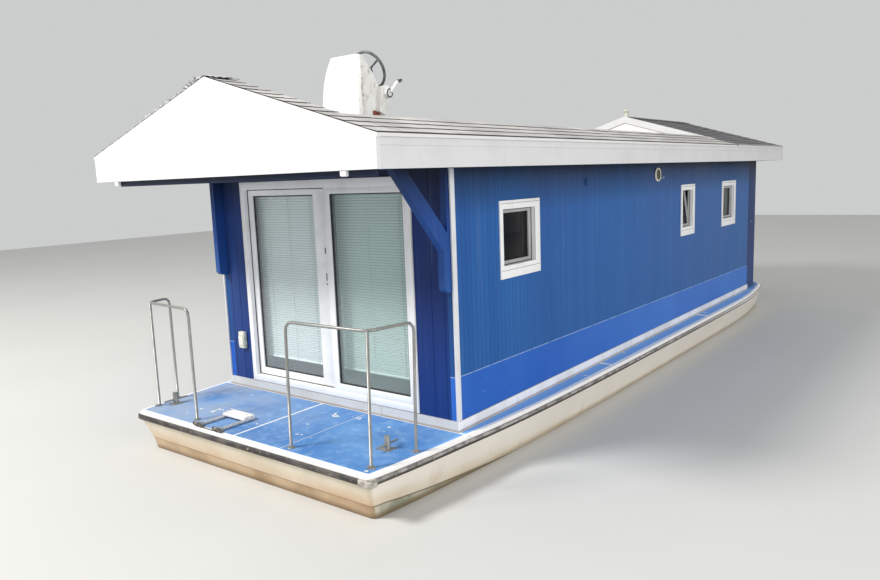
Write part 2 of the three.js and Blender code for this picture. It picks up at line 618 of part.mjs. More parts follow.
add('ladder_seat', joined(lugBar, ...lugBases, ...lugs, ...lugPins), 'steel', 0.4, 0.8);

const ladderParts = [];
for (const x of LADDER_X) {
  ladderParts.push(rod([x, LADDER_AXIS_Y + 76, LADDER_TUBE_Z], [x, LADDER_END, LADDER_TUBE_Z], 15, 12));
  ladderParts.push(cut(
    prismX([
      [LADDER_AXIS_Y - 8, LADDER_AXIS_Z - 8], [LADDER_AXIS_Y + 80, LADDER_TUBE_Z - 6],
      [LADDER_AXIS_Y + 100, LADDER_TUBE_Z + 10], [LADDER_AXIS_Y + 8, LADDER_AXIS_Z + 10],
      [LADDER_AXIS_Y - 8, LADDER_AXIS_Z + 10],
    ], x - 5, x + 5),
    rod([x - 20, LADDER_AXIS_Y, LADDER_AXIS_Z], [x + 20, LADDER_AXIS_Y, LADDER_AXIS_Z], 5 + GAP, 12),
  ));
}
ladderParts.push(box(LADDER_X[0] - 12, LADDER_X[1] + 12, LADDER_END - 118, LADDER_END - 6, 28, 50));
add('boarding_ladder', joined(...ladderParts), 'steel', 0.4, 0.8);

// Outboard motor on the stern

// Timber pad that stands clear of the rub rail, outline in (y, z)
add('motor_pad', prismX([
  [STERN_Y + GAP, -330], [PAD_BACK, -330], [PAD_BACK, 0], [STERN_Y + RAIL_PROUD + GAP, 0],
  [STERN_Y + RAIL_PROUD + GAP, -90], [STERN_Y + GAP, -90],
], -230, 230), 'timber', 0.8);

// Clamp: two cheeks hooked over the pad, a cross bar and the tilt pin
const CHEEK_X = 95;
const cheek = prismX([
  [TILT_Y - 20, GAP], [PAD_BACK + GAP, GAP], [PAD_BACK + GAP, -240], [PAD_BACK + 30, -240],
  [PAD_BACK + 30, -20], [TILT_Y + 22, TILT_Z + 20], [TILT_Y - 20, TILT_Z + 20],
], CHEEK_X, CHEEK_X + 15);
add('motor_clamp', joined(
  cheek, mirrored(cheek),
  box(-CHEEK_X - 5, CHEEK_X + 5, PAD_BACK + GAP, PAD_BACK + 10, -235, -195),
  rod([-CHEEK_X - 20, TILT_Y, TILT_Z], [CHEEK_X + 20, TILT_Y, TILT_Z], 10, 16),
), 'motor', 0.4);

// Swivel: a sleeve on the tilt pin and the upright steering tube
const SWIVEL_TOP = TILT_Z + 10;
const SWIVEL_BOTTOM = -230;
const SHAFT_R = 14;
add('motor_swivel', cut(
  joined(
    rod([-CHEEK_X + 6, TILT_Y, TILT_Z], [CHEEK_X - 6, TILT_Y, TILT_Z], 22, 16),
    prismX([
      [TILT_Y, TILT_Z - 18], [PAD_BACK + 20, 16], [PAD_BACK + 34, -190], [STEER_Y, -190],
      [STEER_Y, SWIVEL_TOP - 8], [TILT_Y, TILT_Z + 14],
    ], -24, 24),
    rod([0, STEER_Y, SWIVEL_BOTTOM], [0, STEER_Y, SWIVEL_TOP], 30, 20),
  ),
  rod([-CHEEK_X, TILT_Y, TILT_Z], [CHEEK_X, TILT_Y, TILT_Z], 10 + GAP, 16),
  rod([0, STEER_Y, SWIVEL_BOTTOM - 10], [0, STEER_Y, SWIVEL_TOP + 10], SHAFT_R + GAP, 16),
), 'motor', 0.4);

// Leg levels: [z, half width, y front, y aft]
const LEG_LEVELS = [
  [PROP_Z, 16, 9668, 9800], [PLATE_Z - 4, 18, 9672, 9806], [PLATE_Z + 20, 24, 9676, 9800],
  [-250, 34, 9676, 9790], [60, 40, 9676, 9800], [100, 60, 9660, 9850],
];
const legOutline = ([z, half, front, aft]) => Array.from({ length: 16 }, (_, i) => {
  const angle = (i / 16) * Math.PI * 2;
  const reach = (aft - front) / 2;
  return [half * Math.cos(angle), (front + aft) / 2 + reach * Math.sin(angle), z];
});
const plateShape = [[-28, 9664], [28, 9664], [88, 9760], [84, 9860], [-84, 9860], [-88, 9760]];
const plate = new THREE.ExtrudeGeometry(shapeOf(plateShape), { depth: 8, bevelEnabled: false });
const torpedo = new THREE.LatheGeometry([
  [0, 0], [14, 6], [28, 30], [38, 75], [38, 130], [31, GEARCASE_LENGTH], [0, GEARCASE_LENGTH],
].map(([r, along]) => new THREE.Vector2(r, along)), 18);
const skeg = prismX([
  [9690, PROP_Z - 30], [9726, SKEG_Z], [9784, SKEG_Z], [9796, PROP_Z - 30],
], -5, 5);
add('motor_leg', joined(
  stack(LEG_LEVELS.map(legOutline)),
  plate.translate(0, 0, PLATE_Z - 4),
  torpedo.translate(0, GEARCASE_FRONT, PROP_Z),
  skeg,
  rod([0, STEER_Y, SWIVEL_BOTTOM - 20], [0, STEER_Y, SWIVEL_TOP + 20], SHAFT_R, 16),
  prismX([
    [STEER_Y - 26, SWIVEL_TOP + GAP], [LEG_Y, SWIVEL_TOP + GAP], [LEG_Y, SWIVEL_TOP + 24],
    [STEER_Y - 26, SWIVEL_TOP + 24],
  ], -26, 26),
  prismX([
    [STEER_Y - 22, SWIVEL_BOTTOM - 22], [LEG_Y, SWIVEL_BOTTOM - 22], [LEG_Y, SWIVEL_BOTTOM - GAP],
    [STEER_Y - 22, SWIVEL_BOTTOM - GAP],
  ], -22, 22),
), 'motor', 0.4);

// Cowl levels: [z, half width, y front, y aft]
const COWL_LEVELS = [
  [100 + GAP, 100, 9610, 9900], [130, 142, 9576, 9956], [190, 150, 9572, COWL_BACK],
  [360, 148, 9578, COWL_BACK - 6], [430, 130, 9600, COWL_BACK - 40], [466, 96, 9640, COWL_BACK - 100],
];
const cowlOutline = ([z, half, front, aft]) => Array.from({ length: 24 }, (_, i) => {
  const angle = (i / 24) * Math.PI * 2;
  const squared = (value) => Math.sign(value) * Math.abs(value) ** 0.55;
  const reach = (aft - front) / 2;
  return [half * squared(Math.cos(angle)), (front + aft) / 2 + reach * squared(Math.sin(angle)), z];
});
add('motor_cowl', stack(COWL_LEVELS.map(cowlOutline)), 'motor', 0.35);

// Propeller
const PROP_Y = GEARCASE_FRONT + GEARCASE_LENGTH + GAP;
const PROP_R = 112;
const blades = [0, 1, 2].map((i) => {
  const blade = new THREE.SphereGeometry(1, 14, 8).scale(30, 4, 44);
  blade.rotateZ(THREE.MathUtils.degToRad(32)).translate(0, 0, PROP_R - 44);
  return blade.rotateY((i / 3) * Math.PI * 2).translate(0, PROP_Y + 26, PROP_Z);
});
add('propeller', joined(
  rod([0, PROP_Y, PROP_Z], [0, PROP_Y + 58, PROP_Z], 30, 16), ...blades,
), 'alloy', 0.3, 0.8);

export default boat;
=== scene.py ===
import math
import random

import bpy
from mathutils import Matrix, Vector


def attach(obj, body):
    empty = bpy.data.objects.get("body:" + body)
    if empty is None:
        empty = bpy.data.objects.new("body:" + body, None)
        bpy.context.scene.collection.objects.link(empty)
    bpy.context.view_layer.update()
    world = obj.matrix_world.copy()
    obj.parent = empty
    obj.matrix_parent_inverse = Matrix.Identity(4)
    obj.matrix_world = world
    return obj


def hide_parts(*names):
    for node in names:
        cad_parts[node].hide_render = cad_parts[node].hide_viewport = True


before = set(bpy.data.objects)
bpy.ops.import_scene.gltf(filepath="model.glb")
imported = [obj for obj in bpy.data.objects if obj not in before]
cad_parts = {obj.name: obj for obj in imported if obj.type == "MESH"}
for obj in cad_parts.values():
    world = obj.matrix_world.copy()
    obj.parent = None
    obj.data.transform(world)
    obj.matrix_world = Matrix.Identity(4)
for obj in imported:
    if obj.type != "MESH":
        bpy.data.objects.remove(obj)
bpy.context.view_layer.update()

# Camera: at standing height off the port bow, a short wide lens held level, so that the bow gable
# and the whole port side show.
CABIN_FRONT = -4.424
DECK = 0.65


def at(x, y, z):
    """A place measured in metres to port, aft and up from the deck below the cabin's front wall."""
    return Vector((x, y + CABIN_FRONT, z + DECK))


camera_data = bpy.data.cameras.new("photograph_view")
camera_data.sensor_width = 36.0
camera_data.lens = 30.39
camera_data.clip_end = 200.0
camera = bpy.data.objects.new("photograph_view", camera_data)
camera.matrix_world = Matrix((
    (0.79403, -0.06194, 0.60471, 4.9676),
    (0.60672, 0.14204, -0.78212, -9.1203),
    (-0.03745, 0.98792, 0.15036, 2.7252),
    (0.0, 0.0, 0.0, 1.0),
))
bpy.context.scene.collection.objects.link(camera)
bpy.context.scene.camera = camera
bpy.context.scene.view_settings.view_transform = "Standard"

# Floor and light: a plain pale floor at the level the boat floats at, hazy daylight from all
# round, and one large soft lamp high off the bow that leaves the port side in its own shade.


def tone(red, green, blue):
    """A colour given by its screen values, as the shaders want it."""
    def straight(value):
        value /= 255
        return value / 12.92 if value <= 0.04045 else ((value + 0.055) / 1.055) ** 2.4
    return (straight(red), straight(green), straight(blue), 1.0)


class Signal:
    """One value that runs through a material: sums with it add the Math nodes they need."""

    def __init__(self, finish, socket):
        self.finish = finish
        self.socket = socket

    def maths(self, operation, first, second=None):
        inputs = {0: first} if second is None else {0: first, 1: second}
        return self.finish.node("ShaderNodeMath", {"operation": operation}, inputs)

    def __add__(self, other):
        return self.maths("ADD", self, other)

    def __sub__(self, other):
        return self.maths("SUBTRACT", self, other)

    def __rsub__(self, other):
        return self.maths("SUBTRACT", other, self)

    def __mul__(self, other):
        return self.maths("MULTIPLY", self, other)

    def __rpow__(self, base):
        return self.maths("POWER", base, self)

    def __abs__(self):
        return self.maths("ABSOLUTE", self)

    def least(self, value):
        return self.maths("MAXIMUM", self, value)

    __radd__ = __add__
    __rmul__ = __mul__

    def fade(self, start, end):
        """Rises from 0 at start to 1 at end, and holds there."""
        return self.finish.node("ShaderNodeMapRange", {}, {
            "Value": self, "From Min": start, "From Max": end})


class Finish:
    """A material made of nodes; node adds one and hands back one of its outputs."""

    def __init__(self, name):
        self.material = bpy.data.materials.new(name)
        self.material.use_nodes = True
        self.tree = self.material.node_tree
        self.tree.nodes.clear()

    def node(self, kind, settings=None, inputs=None, output=0):
        made = self.tree.nodes.new(kind)
        for key, value in (settings or {}).items():
            setattr(made, key, value)
        for key, value in (inputs or {}).items():
            if isinstance(value, Signal):
                self.tree.links.new(value.socket, made.inputs[key])
            else:
                made.inputs[key].default_value = value
        return Signal(self, made.outputs[output])

    def place(self, stretch=(1, 1, 1)):
        """Where a point lies on the boat, with the pattern's scale along each axis."""
        where = self.node("ShaderNodeTexCoord", output="Object")
        return self.node("ShaderNodeMapping", {}, {"Vector": where, "Scale": stretch})

    def axis(self, name):
        return self.node("ShaderNodeSeparateXYZ", {}, {0: self.place()}, name)

    def facing(self, name):
        normal = self.node("ShaderNodeNewGeometry", output="Normal")
        return self.node("ShaderNodeSeparateXYZ", {}, {0: normal}, name)

    def noise(self, scale, detail=3.0, stretch=(1, 1, 1)):
        return self.node("ShaderNodeTexNoise", {}, {
            "Vector": self.place(stretch), "Scale": scale, "Detail": detail}, "Fac")

    def mix(self, share, under, over):
        """Mixes two colours, each a Signal or the three screen values of a tone."""
        under, over = (tone(*each) if isinstance(each, tuple) else each for each in (under, over))
        return self.node("ShaderNodeMix", {"data_type": "RGBA"}, {0: share, 6: under, 7: over}, 2)

    def layers(self, colour, *coats):
        """Lays coats over a colour one by one, each given as its share and its colour."""
        for share, coat in coats:
            colour = self.mix(share, colour, coat)
        return colour

    def bands(self, scale):
        """Upright bands side by side across the boat."""
        return self.node("ShaderNodeTexWave", {"wave_type": "BANDS", "bands_direction": "X"}, {
            "Vector": self.place(), "Scale": scale}, "Fac")

    def bump(self, height, distance, strength):
        return self.node("ShaderNodeBump", {}, {
            "Height": height, "Distance": distance, "Strength": strength}, "Normal")

    def surface(self, **inputs):
        """Closes the material with one painted or bare surface."""
        named = {key.replace("_", " "): value for key, value in inputs.items()}
        shader = self.node("ShaderNodeBsdfPrincipled", {}, named)
        self.node_out(shader)
        return self.material

    def node_out(self, shader):
        end = self.tree.nodes.new("ShaderNodeOutputMaterial")
        self.tree.links.new(shader.socket, end.inputs["Surface"])


def two_tone(name, sound, worn, patch, spread=None, rough=0.7, grain=None, **fixed):
    """A finish that wanders between two screen colours; patch is the noise's scale and detail.

    spread is the stretch of the noise that counts. rough is the roughness, or else the share of the
    noise in it and its least. grain is a bump: its own noise, its depth and its strength.
    """
    finish = Finish(name)
    wear = finish.noise(*patch)
    fixed["Roughness"] = wear * rough[0] + rough[1] if isinstance(rough, tuple) else rough
    if grain:
        fixed["Normal"] = finish.bump(finish.noise(*grain[0]), *grain[1:])
    share = wear.fade(*spread) if spread else wear
    return finish.surface(Base_Color=finish.mix(share, sound, worn), **fixed)


def added(name, make, **settings):
    """Makes one primitive with nothing else selected."""
    bpy.ops.object.select_all(action="DESELECT")
    make(**settings)
    bpy.context.object.name = name
    return bpy.context.object


def settle():
    """Works the selected piece's place, turn and size into its mesh."""
    bpy.ops.object.transform_apply(location=True, rotation=True, scale=True)


float_level = 0.269
floor = added("floor", bpy.ops.mesh.primitive_plane_add, size=60, location=(0, 0, float_level))
settle()
floor.data.materials.append(two_tone(
    "floor_paint", (200, 200, 197), (206, 206, 203), patch=(0.6, 2.0), rough=0.75))

sky = bpy.data.worlds.new("sky")
sky.use_nodes = True
haze = sky.node_tree.nodes["Background"].inputs
haze["Color"].default_value = (0.97, 0.985, 0.985, 1.0)
haze["Strength"].default_value = 0.62
bpy.context.scene.world = sky


def lamp(name, place, aim, size, power, colour=(1.0, 1.0, 1.0)):
    data = bpy.data.lights.new(name, "AREA")
    data.shape = "DISK"
    data.size = size
    data.energy = power
    data.color = colour
    light = bpy.data.objects.new(name, data)
    light.location = place
    light.rotation_euler = (Vector(aim) - Vector(place)).to_track_quat("-Z", "Y").to_euler()
    bpy.context.scene.collection.objects.link(light)


lamp("key", (-7.0, -17.0, 15.0), (0.0, -2.0, 1.5), 5.0, 4200, (1.0, 0.98, 0.95))
lamp("fill", (16.0, -6.0, 5.0), (0.0, 0.0, 1.2), 9.0, 900)

# Hull: a moulded glass-fibre scow, cream gelcoat with a white rolled rim round the deck. Years
# afloat have left tan runs down the topsides and brown and green growth below the knuckle. A
# dark line of dirt and painted shade marks the knuckle's step, and the sides darken towards the
# waterline with dirt and a painted reflection of the water.
gelcoat = Finish("hull_gelcoat")
bow_end = -5.324
knuckle, knuckle_fall, fall_rate = 0.379, 0.16, 0.7143
rim_foot = 0.612
from_bow = (gelcoat.axis("Y") - bow_end).least(0.0)
knuckle_drop = knuckle_fall * (1 - math.e ** (from_bow * -fall_rate))
height = gelcoat.axis("Z")
level = height + knuckle_drop
on_bow = gelcoat.facing("Y").fade(-0.35, -0.6)
streaks = gelcoat.noise(5.0, 4.0, (1.0, 1.0, 0.08))
mottle = gelcoat.noise(2.2, 5.0)
runs = streaks.fade(0.56, 0.8) * level.fade(0.62, 0.44) * 0.5
tan = level.fade(0.5, 0.385) * gelcoat.noise(0.9, 3.0).fade(0.3, 0.65)
cream = gelcoat.layers(
    (231, 221, 202), (mottle.fade(0.35, 0.75), (212, 198, 174)),
    (level.fade(0.42, 0.5) * (1 - on_bow) * 0.65, (238, 233, 226)),
    (runs, (184, 146, 104)), (tan * (on_bow * 0.5 + 0.2), (200, 146, 90)))
green = gelcoat.mix(gelcoat.noise(6.0, 6.0).fade(0.4, 0.6), (146, 148, 130), (194, 188, 170))
brown = gelcoat.mix(gelcoat.noise(3.0, 5.0).fade(0.4, 0.7), (192, 166, 134), (150, 120, 88))
growth = gelcoat.layers(
    green, (on_bow, brown), (height.fade(0.325, 0.275) * 0.8, (98, 76, 50)))
# Dirt and painted shade: a dark brown line along the knuckle's step.
knuckle_dirt_and_shade = level.fade(knuckle - 0.011, knuckle - 0.004) * level.fade(knuckle + 0.007, knuckle + 0.001)
rim_dirt = gelcoat.noise(9.0, 6.0).fade(0.58, 0.8) * 0.3
rim = gelcoat.mix(rim_dirt, (248, 246, 244), (168, 158, 146))
skin = gelcoat.layers(
    cream, (level.fade(knuckle + 0.002, knuckle - 0.002), growth),
    (knuckle_dirt_and_shade * (0.85 - 0.45 * on_bow), (92, 78, 52)),
    # Dirt and a painted reflection of the water: the sides darken towards the waterline.
    (height.fade(0.335, 0.272) * (1 - on_bow) * 0.6, (128, 108, 76)),
    (height.fade(rim_foot, rim_foot + 0.006), rim))
hull_finish = gelcoat.surface(
    Base_Color=skin,
    Roughness=mottle.fade(0.2, 0.9) * 0.25 + 0.28,
    Normal=gelcoat.bump(gelcoat.noise(60.0, 3.0), 0.0012, 0.5))


def dress(material, *nodes):
    """Lays a finish on nodes of the frame."""
    for node in nodes:
        target = bpy.data.objects[node]
        target.data.materials.clear()
        target.data.materials.append(material)


dress(hull_finish, "hull")

# Deck covering: thin light-blue non-slip sheets glued to the white deck, their edges 34 mm in
# from the rim and a finger apart, walked to a paler blue and chipped through in places. Along the
# cabin the side decks are painted a lighter blue as painted light, against the cabin's shade.


def alone(piece):
    """Makes one piece the active and the only selected one."""
    bpy.ops.object.select_all(action="DESELECT")
    bpy.context.view_layer.objects.active = piece
    piece.select_set(True)


def open_mesh(piece):
    """Takes one piece into edit mode with its whole mesh selected."""
    alone(piece)
    bpy.ops.object.mode_set(mode="EDIT")
    bpy.ops.mesh.select_all(action="SELECT")


def close_mesh():
    bpy.ops.object.mode_set(mode="OBJECT")


def copy_of(node, name):
    """A welded copy of a node's mesh as a new piece, left open in edit mode."""
    piece = bpy.data.objects.new(name, bpy.data.objects[node].data.copy())
    bpy.context.scene.collection.objects.link(piece)
    open_mesh(piece)
    bpy.ops.mesh.remove_doubles(threshold=0.00005)
    return piece


def pick(piece, kind, wanted):
    """Selects those polygons or vertices of an open piece that wanted accepts."""
    close_mesh()
    for elements in (piece.data.vertices, piece.data.edges, piece.data.polygons):
        elements.foreach_set("select", [False] * len(elements))
    for element in getattr(piece.data, kind):
        element.select = wanted(element)
    bpy.context.tool_settings.mesh_select_mode = (kind == "vertices", False, kind == "polygons")
    bpy.ops.object.mode_set(mode="EDIT")


def modified(piece, kind, **settings):
    """Adds one modifier, sets it and applies it."""
    made = piece.modifiers.new(kind.title(), kind)
    for key, value in settings.items():
        setattr(made, key, value)
    alone(piece)
    bpy.ops.object.modifier_apply(modifier=made.name)


def fitted(piece, material, slot, *nodes, body="boat"):
    """Gives a piece its finish, the nodes it stands for and the body it rides on; slot is not used.
    """
    piece.data.materials.clear()
    piece.data.materials.append(material)
    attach(piece, body)
    if nodes:
        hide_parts(*nodes)


sheet_margin = 0.034
beside_cabin = 1.502
lanes_across = ((-0.034, -0.006), (2.575, 2.625), (5.71, 5.785), (8.3, 8.326))
lanes_along = ((-0.108, -0.08), (0.474, 0.487))
cabin_start, cabin_end = lanes_across[0][0], lanes_across[-1][1]
deck_sheets = copy_of("hull", "deck_covering")
pick(deck_sheets, "polygons", lambda face: face.center.z < DECK - 0.0005)
bpy.ops.mesh.delete(type="FACE")
bpy.ops.mesh.select_all(action="SELECT")
bpy.ops.mesh.dissolve_limited(angle_limit=0.02)
bpy.ops.mesh.select_all(action="SELECT")
bpy.ops.mesh.inset(thickness=sheet_margin, depth=0)
bpy.ops.mesh.select_all(action="INVERT")
bpy.ops.mesh.delete(type="FACE")
cuts = [((x, 0, 0), (1, 0, 0))
        for x in (-beside_cabin, beside_cabin, *lanes_along[0], *lanes_along[1])]
cuts += [((0, y, 0), (0, 1, 0)) for lane in lanes_across for y in lane]
for point, normal in cuts:
    bpy.ops.mesh.select_all(action="SELECT")
    bpy.ops.mesh.bisect(plane_co=at(*point), plane_no=normal)


def bare_deck(face):
    x, y = face.center.x, face.center.y - CABIN_FRONT
    in_lane = any(low < y < high for low, high in lanes_across)
    along_bow = y < 0 and any(low < x < high for low, high in lanes_along)
    return in_lane or along_bow or (abs(x) < beside_cabin and cabin_start < y < cabin_end)


pick(deck_sheets, "polygons", bare_deck)
bpy.ops.mesh.delete(type="FACE")
close_mesh()
modified(deck_sheets, "SOLIDIFY", thickness=0.003, offset=1.0)
modified(deck_sheets, "BEVEL", width=0.0008, segments=1, limit_method="ANGLE")
covering = Finish("deck_covering_blue")
walked = covering.noise(1.6, 5.0).fade(0.36, 0.68)
worn = covering.axis("X").fade(0.6, -1.4) * covering.noise(2.4, 7.0).fade(0.3, 0.62) * 0.85
scuffs = covering.noise(12.0, 7.0).fade(0.5, 0.72) * 0.5
# Painted light: the side decks along the cabin are painted a lighter blue.
side_deck_light = abs(covering.axis("X")).fade(beside_cabin - 0.002, beside_cabin + 0.013) * 0.75
chips = covering.noise(7.0, 8.0).fade(0.69, 0.71)
grime = covering.noise(4.0, 7.0, (1.0, 0.5, 1.0)).fade(0.62, 0.8) * 0.4
covering_finish = covering.surface(
    Base_Color=covering.layers(
        (66, 124, 190), (walked, (108, 158, 212)), (worn, (160, 170, 188)),
        (scuffs, (146, 176, 216)), (side_deck_light, (120, 178, 246)), (chips, (226, 224, 216)),
        (grime, (92, 96, 98))),
    Roughness=walked * 0.15 + 0.6,
    Normal=covering.bump(covering.noise(400.0, 2.0), 0.001, 0.35))
fitted(deck_sheets, covering_finish, "gelcoat")

# Rubbing strip: a black rubber section screwed round the hull below the rim, rubbed grey and
# brown along its crown, with a cast cap over the port bow corner where two lengths meet.
rubber = Finish("rubbing_strip")
crown = rubber.noise(6.0, 7.0, (1.0, 0.25, 2.0))
nicks = rubber.noise(34.0, 6.0).fade(0.6, 0.74) * 0.7
sternward = rubber.axis("Y").fade(-1.0, 3.0)
top_edge = (rubber.axis("Z") + sternward * 0.008).fade(0.594, 0.602)
patches = rubber.noise(9.0, 6.0).fade(0.4, 0.6) * 0.35 + 0.15
scraped = abs(rubber.facing("X")).fade(0.3, 0.7) * top_edge * patches.least(sternward * 0.8)
dress(rubber.surface(
    Base_Color=rubber.layers(
        (50, 47, 47), (crown.fade(0.42, 0.7), (96, 90, 86)), (nicks, (172, 160, 146)),
        (scraped, (228, 222, 217))),
    Roughness=crown * 0.3 + 0.55,
    Normal=rubber.bump(rubber.noise(80.0, 5.0), 0.0015, 0.8)), "rub_rail")


def smooth(piece, angle=0.6):
    alone(piece)
    bpy.ops.object.shade_smooth_by_angle(angle=angle)


def block(name, low, high, edge=0.0, segments=2):
    """A block between two corners, with its edges rounded."""
    low, high = at(*low), at(*high)
    piece = added(name, bpy.ops.mesh.primitive_cube_add, size=1, location=(low + high) / 2)
    piece.scale = high - low
    settle()
    if edge:
        modified(piece, "BEVEL", width=edge, segments=segments, limit_method="ANGLE")
        smooth(piece)
    return piece


def merged(name, *parts):
    """Joins parts into one piece."""
    bpy.ops.object.select_all(action="DESELECT")
    for part in parts:
        part.select_set(True)
    bpy.context.view_layer.objects.active = parts[0]
    bpy.ops.object.join()
    parts[0].name = name
    parts[0].data.name = name
    return parts[0]


def turned(name, steps, place, axis=(0, 0, 1), sides=24):
    """A turned part: steps give (distance along its axis, radius) from the base to the tip."""
    piece = added(
        name, bpy.ops.mesh.primitive_circle_add, vertices=sides, radius=steps[0][1],
        fill_type="NGON", location=(0, 0, steps[0][0]))
    settle()
    open_mesh(piece)
    for (before, was), (along, radius) in zip(steps, steps[1:]):
        bpy.ops.mesh.extrude_region_move(TRANSFORM_OT_translate={"value": (0, 0, along - before)})
        bpy.ops.transform.resize(
            value=(radius / was, radius / was, 1), center_override=(0, 0, along))
    bpy.ops.mesh.select_all(action="SELECT")
    bpy.ops.mesh.normals_make_consistent(inside=False)
    close_mesh()
    piece.rotation_euler = Vector(axis).to_track_quat("Z", "Y").to_euler()
    piece.location = at(*place)
    settle()
    smooth(piece)
    return piece


def repeated(piece, moves):
    """Joins to a piece one copy of it for each of the moves."""
    twins = []
    for move in moves:
        twin = piece.copy()
        twin.data = piece.data.copy()
        bpy.context.scene.collection.objects.link(twin)
        twin.data.transform(Matrix.Translation(move))
        twins.append(twin)
    return merged(piece.name, piece, *twins)


def screws(name, places, axis, size=0.005):
    """Low domed screw heads with a sunk socket, one at each place."""
    profile = ((0, 1), (0.4, 1), (0.7, 0.7), (0.7, 0.4), (0.3, 0.35))
    steps = [(size * along, size * radius) for along, radius in profile]
    head = turned(name, steps, places[0], axis, 10)
    return repeated(head, [Vector(place) - Vector(places[0]) for place in places[1:]])


cap_finish = two_tone(
    "corner_cap_cast", (186, 181, 174), (122, 115, 106), patch=(22.0, 6.0), spread=(0.4, 0.7),
    rough=(0.4, 0.35), grain=((22.0, 6.0), 0.001, 0.5))
bow_leg = block("bow_leg", (1.392, -1.118, -0.079), (1.5, -1.09, -0.026), 0.008, 3)
side_leg = block("side_leg", (1.466, -1.116, -0.079), (1.522, -1.04, -0.026), 0.008, 3)
cap_screws = screws(
    "cap_screws", [(x, -1.118, -0.053) for x in (1.412, 1.452)], (0, -1, 0), 0.0055)
fitted(merged("bow_corner_cap", bow_leg, side_leg, cap_screws), cap_finish, "gelcoat")

# Cabin walls: upright boards, painted a strong blue over a royal-blue sheet band at their foot.
# The paint has bleached unevenly and picked up fine runs below the eaves. The tops below the
# eaves are darkened with painted shade and some grime, and the end walls are painted a darker
# navy as the shade under the overhangs.
BOARD = 0.127
BAND_TOP, BAND_FALL = 1.106, 0.006017


def wall_paint(name, main, faded, lighter_side, jointed=1.0, band=None):
    """Board paint; one share is painted lighter, given as axis, start, end and colour."""
    paint = Finish(name)
    rise, along = paint.axis("Z"), paint.axis("Y")
    from_front = along - CABIN_FRONT
    boards = from_front * (1 / BOARD)
    board, within = boards.maths("FLOOR", boards), boards.maths("FRACT", boards)
    own = paint.node(
        "ShaderNodeTexWhiteNoise", {"noise_dimensions": "1D"}, {"W": board}, "Value")
    bleach = paint.noise(1.1, 4.0, (1.0, 1.0, 0.5)).fade(0.35, 0.7)
    edges = within.fade(0.05, 0.01) + within.fade(0.95, 0.99)
    joint = edges + within.fade(0.47, 0.5) * within.fade(0.53, 0.5)
    axis, start, end, lighter_colour = lighter_side
    runs = paint.noise(16.0, 5.0, (1.0, 1.0, 0.04)).fade(0.6, 0.8) * 0.2
    colour = paint.layers(
        main, (bleach * 0.6 + own * 0.3, faded), (joint * 0.5 * jointed, (16, 44, 92)),
        (paint.axis(axis).fade(start, end) * 0.45, lighter_colour), (runs, (110, 138, 176)))
    if band:
        lower, pale, ledge_caulk_and_highlight = band
        level = rise - (BAND_TOP - from_front * BAND_FALL)
        specks = paint.noise(26.0, 7.0).fade(0.68, 0.74) * 0.5
        sheet = paint.layers(
            lower, (bleach * 0.4 + along.fade(-3.6, 1.0) * 0.6, pale), (specks, (150, 180, 222)))
        # A pale caulk line along the sheet band's top edge, partly painted highlight.
        lip = level.fade(-0.005, -0.001) * level.fade(0.004, 0.001)
        colour = paint.layers(
            colour, (level.fade(0.0012, -0.0012), sheet),
            (lip * paint.noise(9.0, 3.0).fade(0.25, 0.5), ledge_caulk_and_highlight))
    else:
        colour = paint.mix(rise.fade(1.7, 0.9) * 0.5, colour, faded)
    # Painted shade, with some grime: the boards darken towards their top, under the eaves.
    eaves = rise.fade(2.38, 2.78) * (0.74 + 0.24 * paint.noise(7.0, 4.0, (1.0, 1.0, 0.2)))
    colour = paint.mix(eaves, colour, (10, 17, 26))
    grain = paint.noise(30.0, 4.0, (1.0, 1.0, 0.05))
    return paint.surface(
        Base_Color=colour,
        Roughness=bleach * 0.15 + 0.5,
        Specular_IOR_Level=0.3,
        Normal=paint.bump(grain, 0.0012, 0.45))


side_paint = wall_paint(
    "side_blue", (20, 82, 154), (38, 101, 169), ("Y", -4.0, 4.4, (78, 114, 168)), 1.0,
    ((20, 88, 184), (70, 124, 204), (160, 188, 224)))
# Painted shade: the front and stern walls are the sides' blue painted a dark navy, as under the
# overhangs, and their starboard part is painted lighter as lit.
end_wall_shaded_paint = wall_paint(
    "end_navy_shaded", (2, 34, 96), (8, 52, 122), ("X", -0.9, -1.45, (50, 84, 146)), 0.0)
dress(side_paint, "wall_port", "wall_starboard")
dress(end_wall_shaded_paint, "wall_front", "wall_stern")

# Screens and brackets: flat panels that carry the stern corners, and sawn timber struts under
# the bow overhang, all in the same blue, with screw heads showing.
screen_paint = wall_paint(
    "screen_navy", (20, 46, 100), (40, 66, 120), ("Z", 1.6, 0.7, (58, 84, 134)), 0.0)
timber_blue = wall_paint(
    "bracket_blue", (20, 62, 134), (36, 84, 156), ("Z", 2.2, 1.8, (40, 90, 160)), 0.0)
dress(screen_paint, "screen_port", "screen_starboard")
dress(timber_blue, "bracket_port", "bracket_starboard")

# Plinth and corner boards: white skirting along the cabin's foot and a white batten down each
# corner, brush-painted, with dirt and painted shade along the bottom edge. Their faces out past
# the skirting's face are painted whiter as lit, and the plinth's front greyer as painted shade,
# with dirt.
SKIRTING_FACE = 1.486


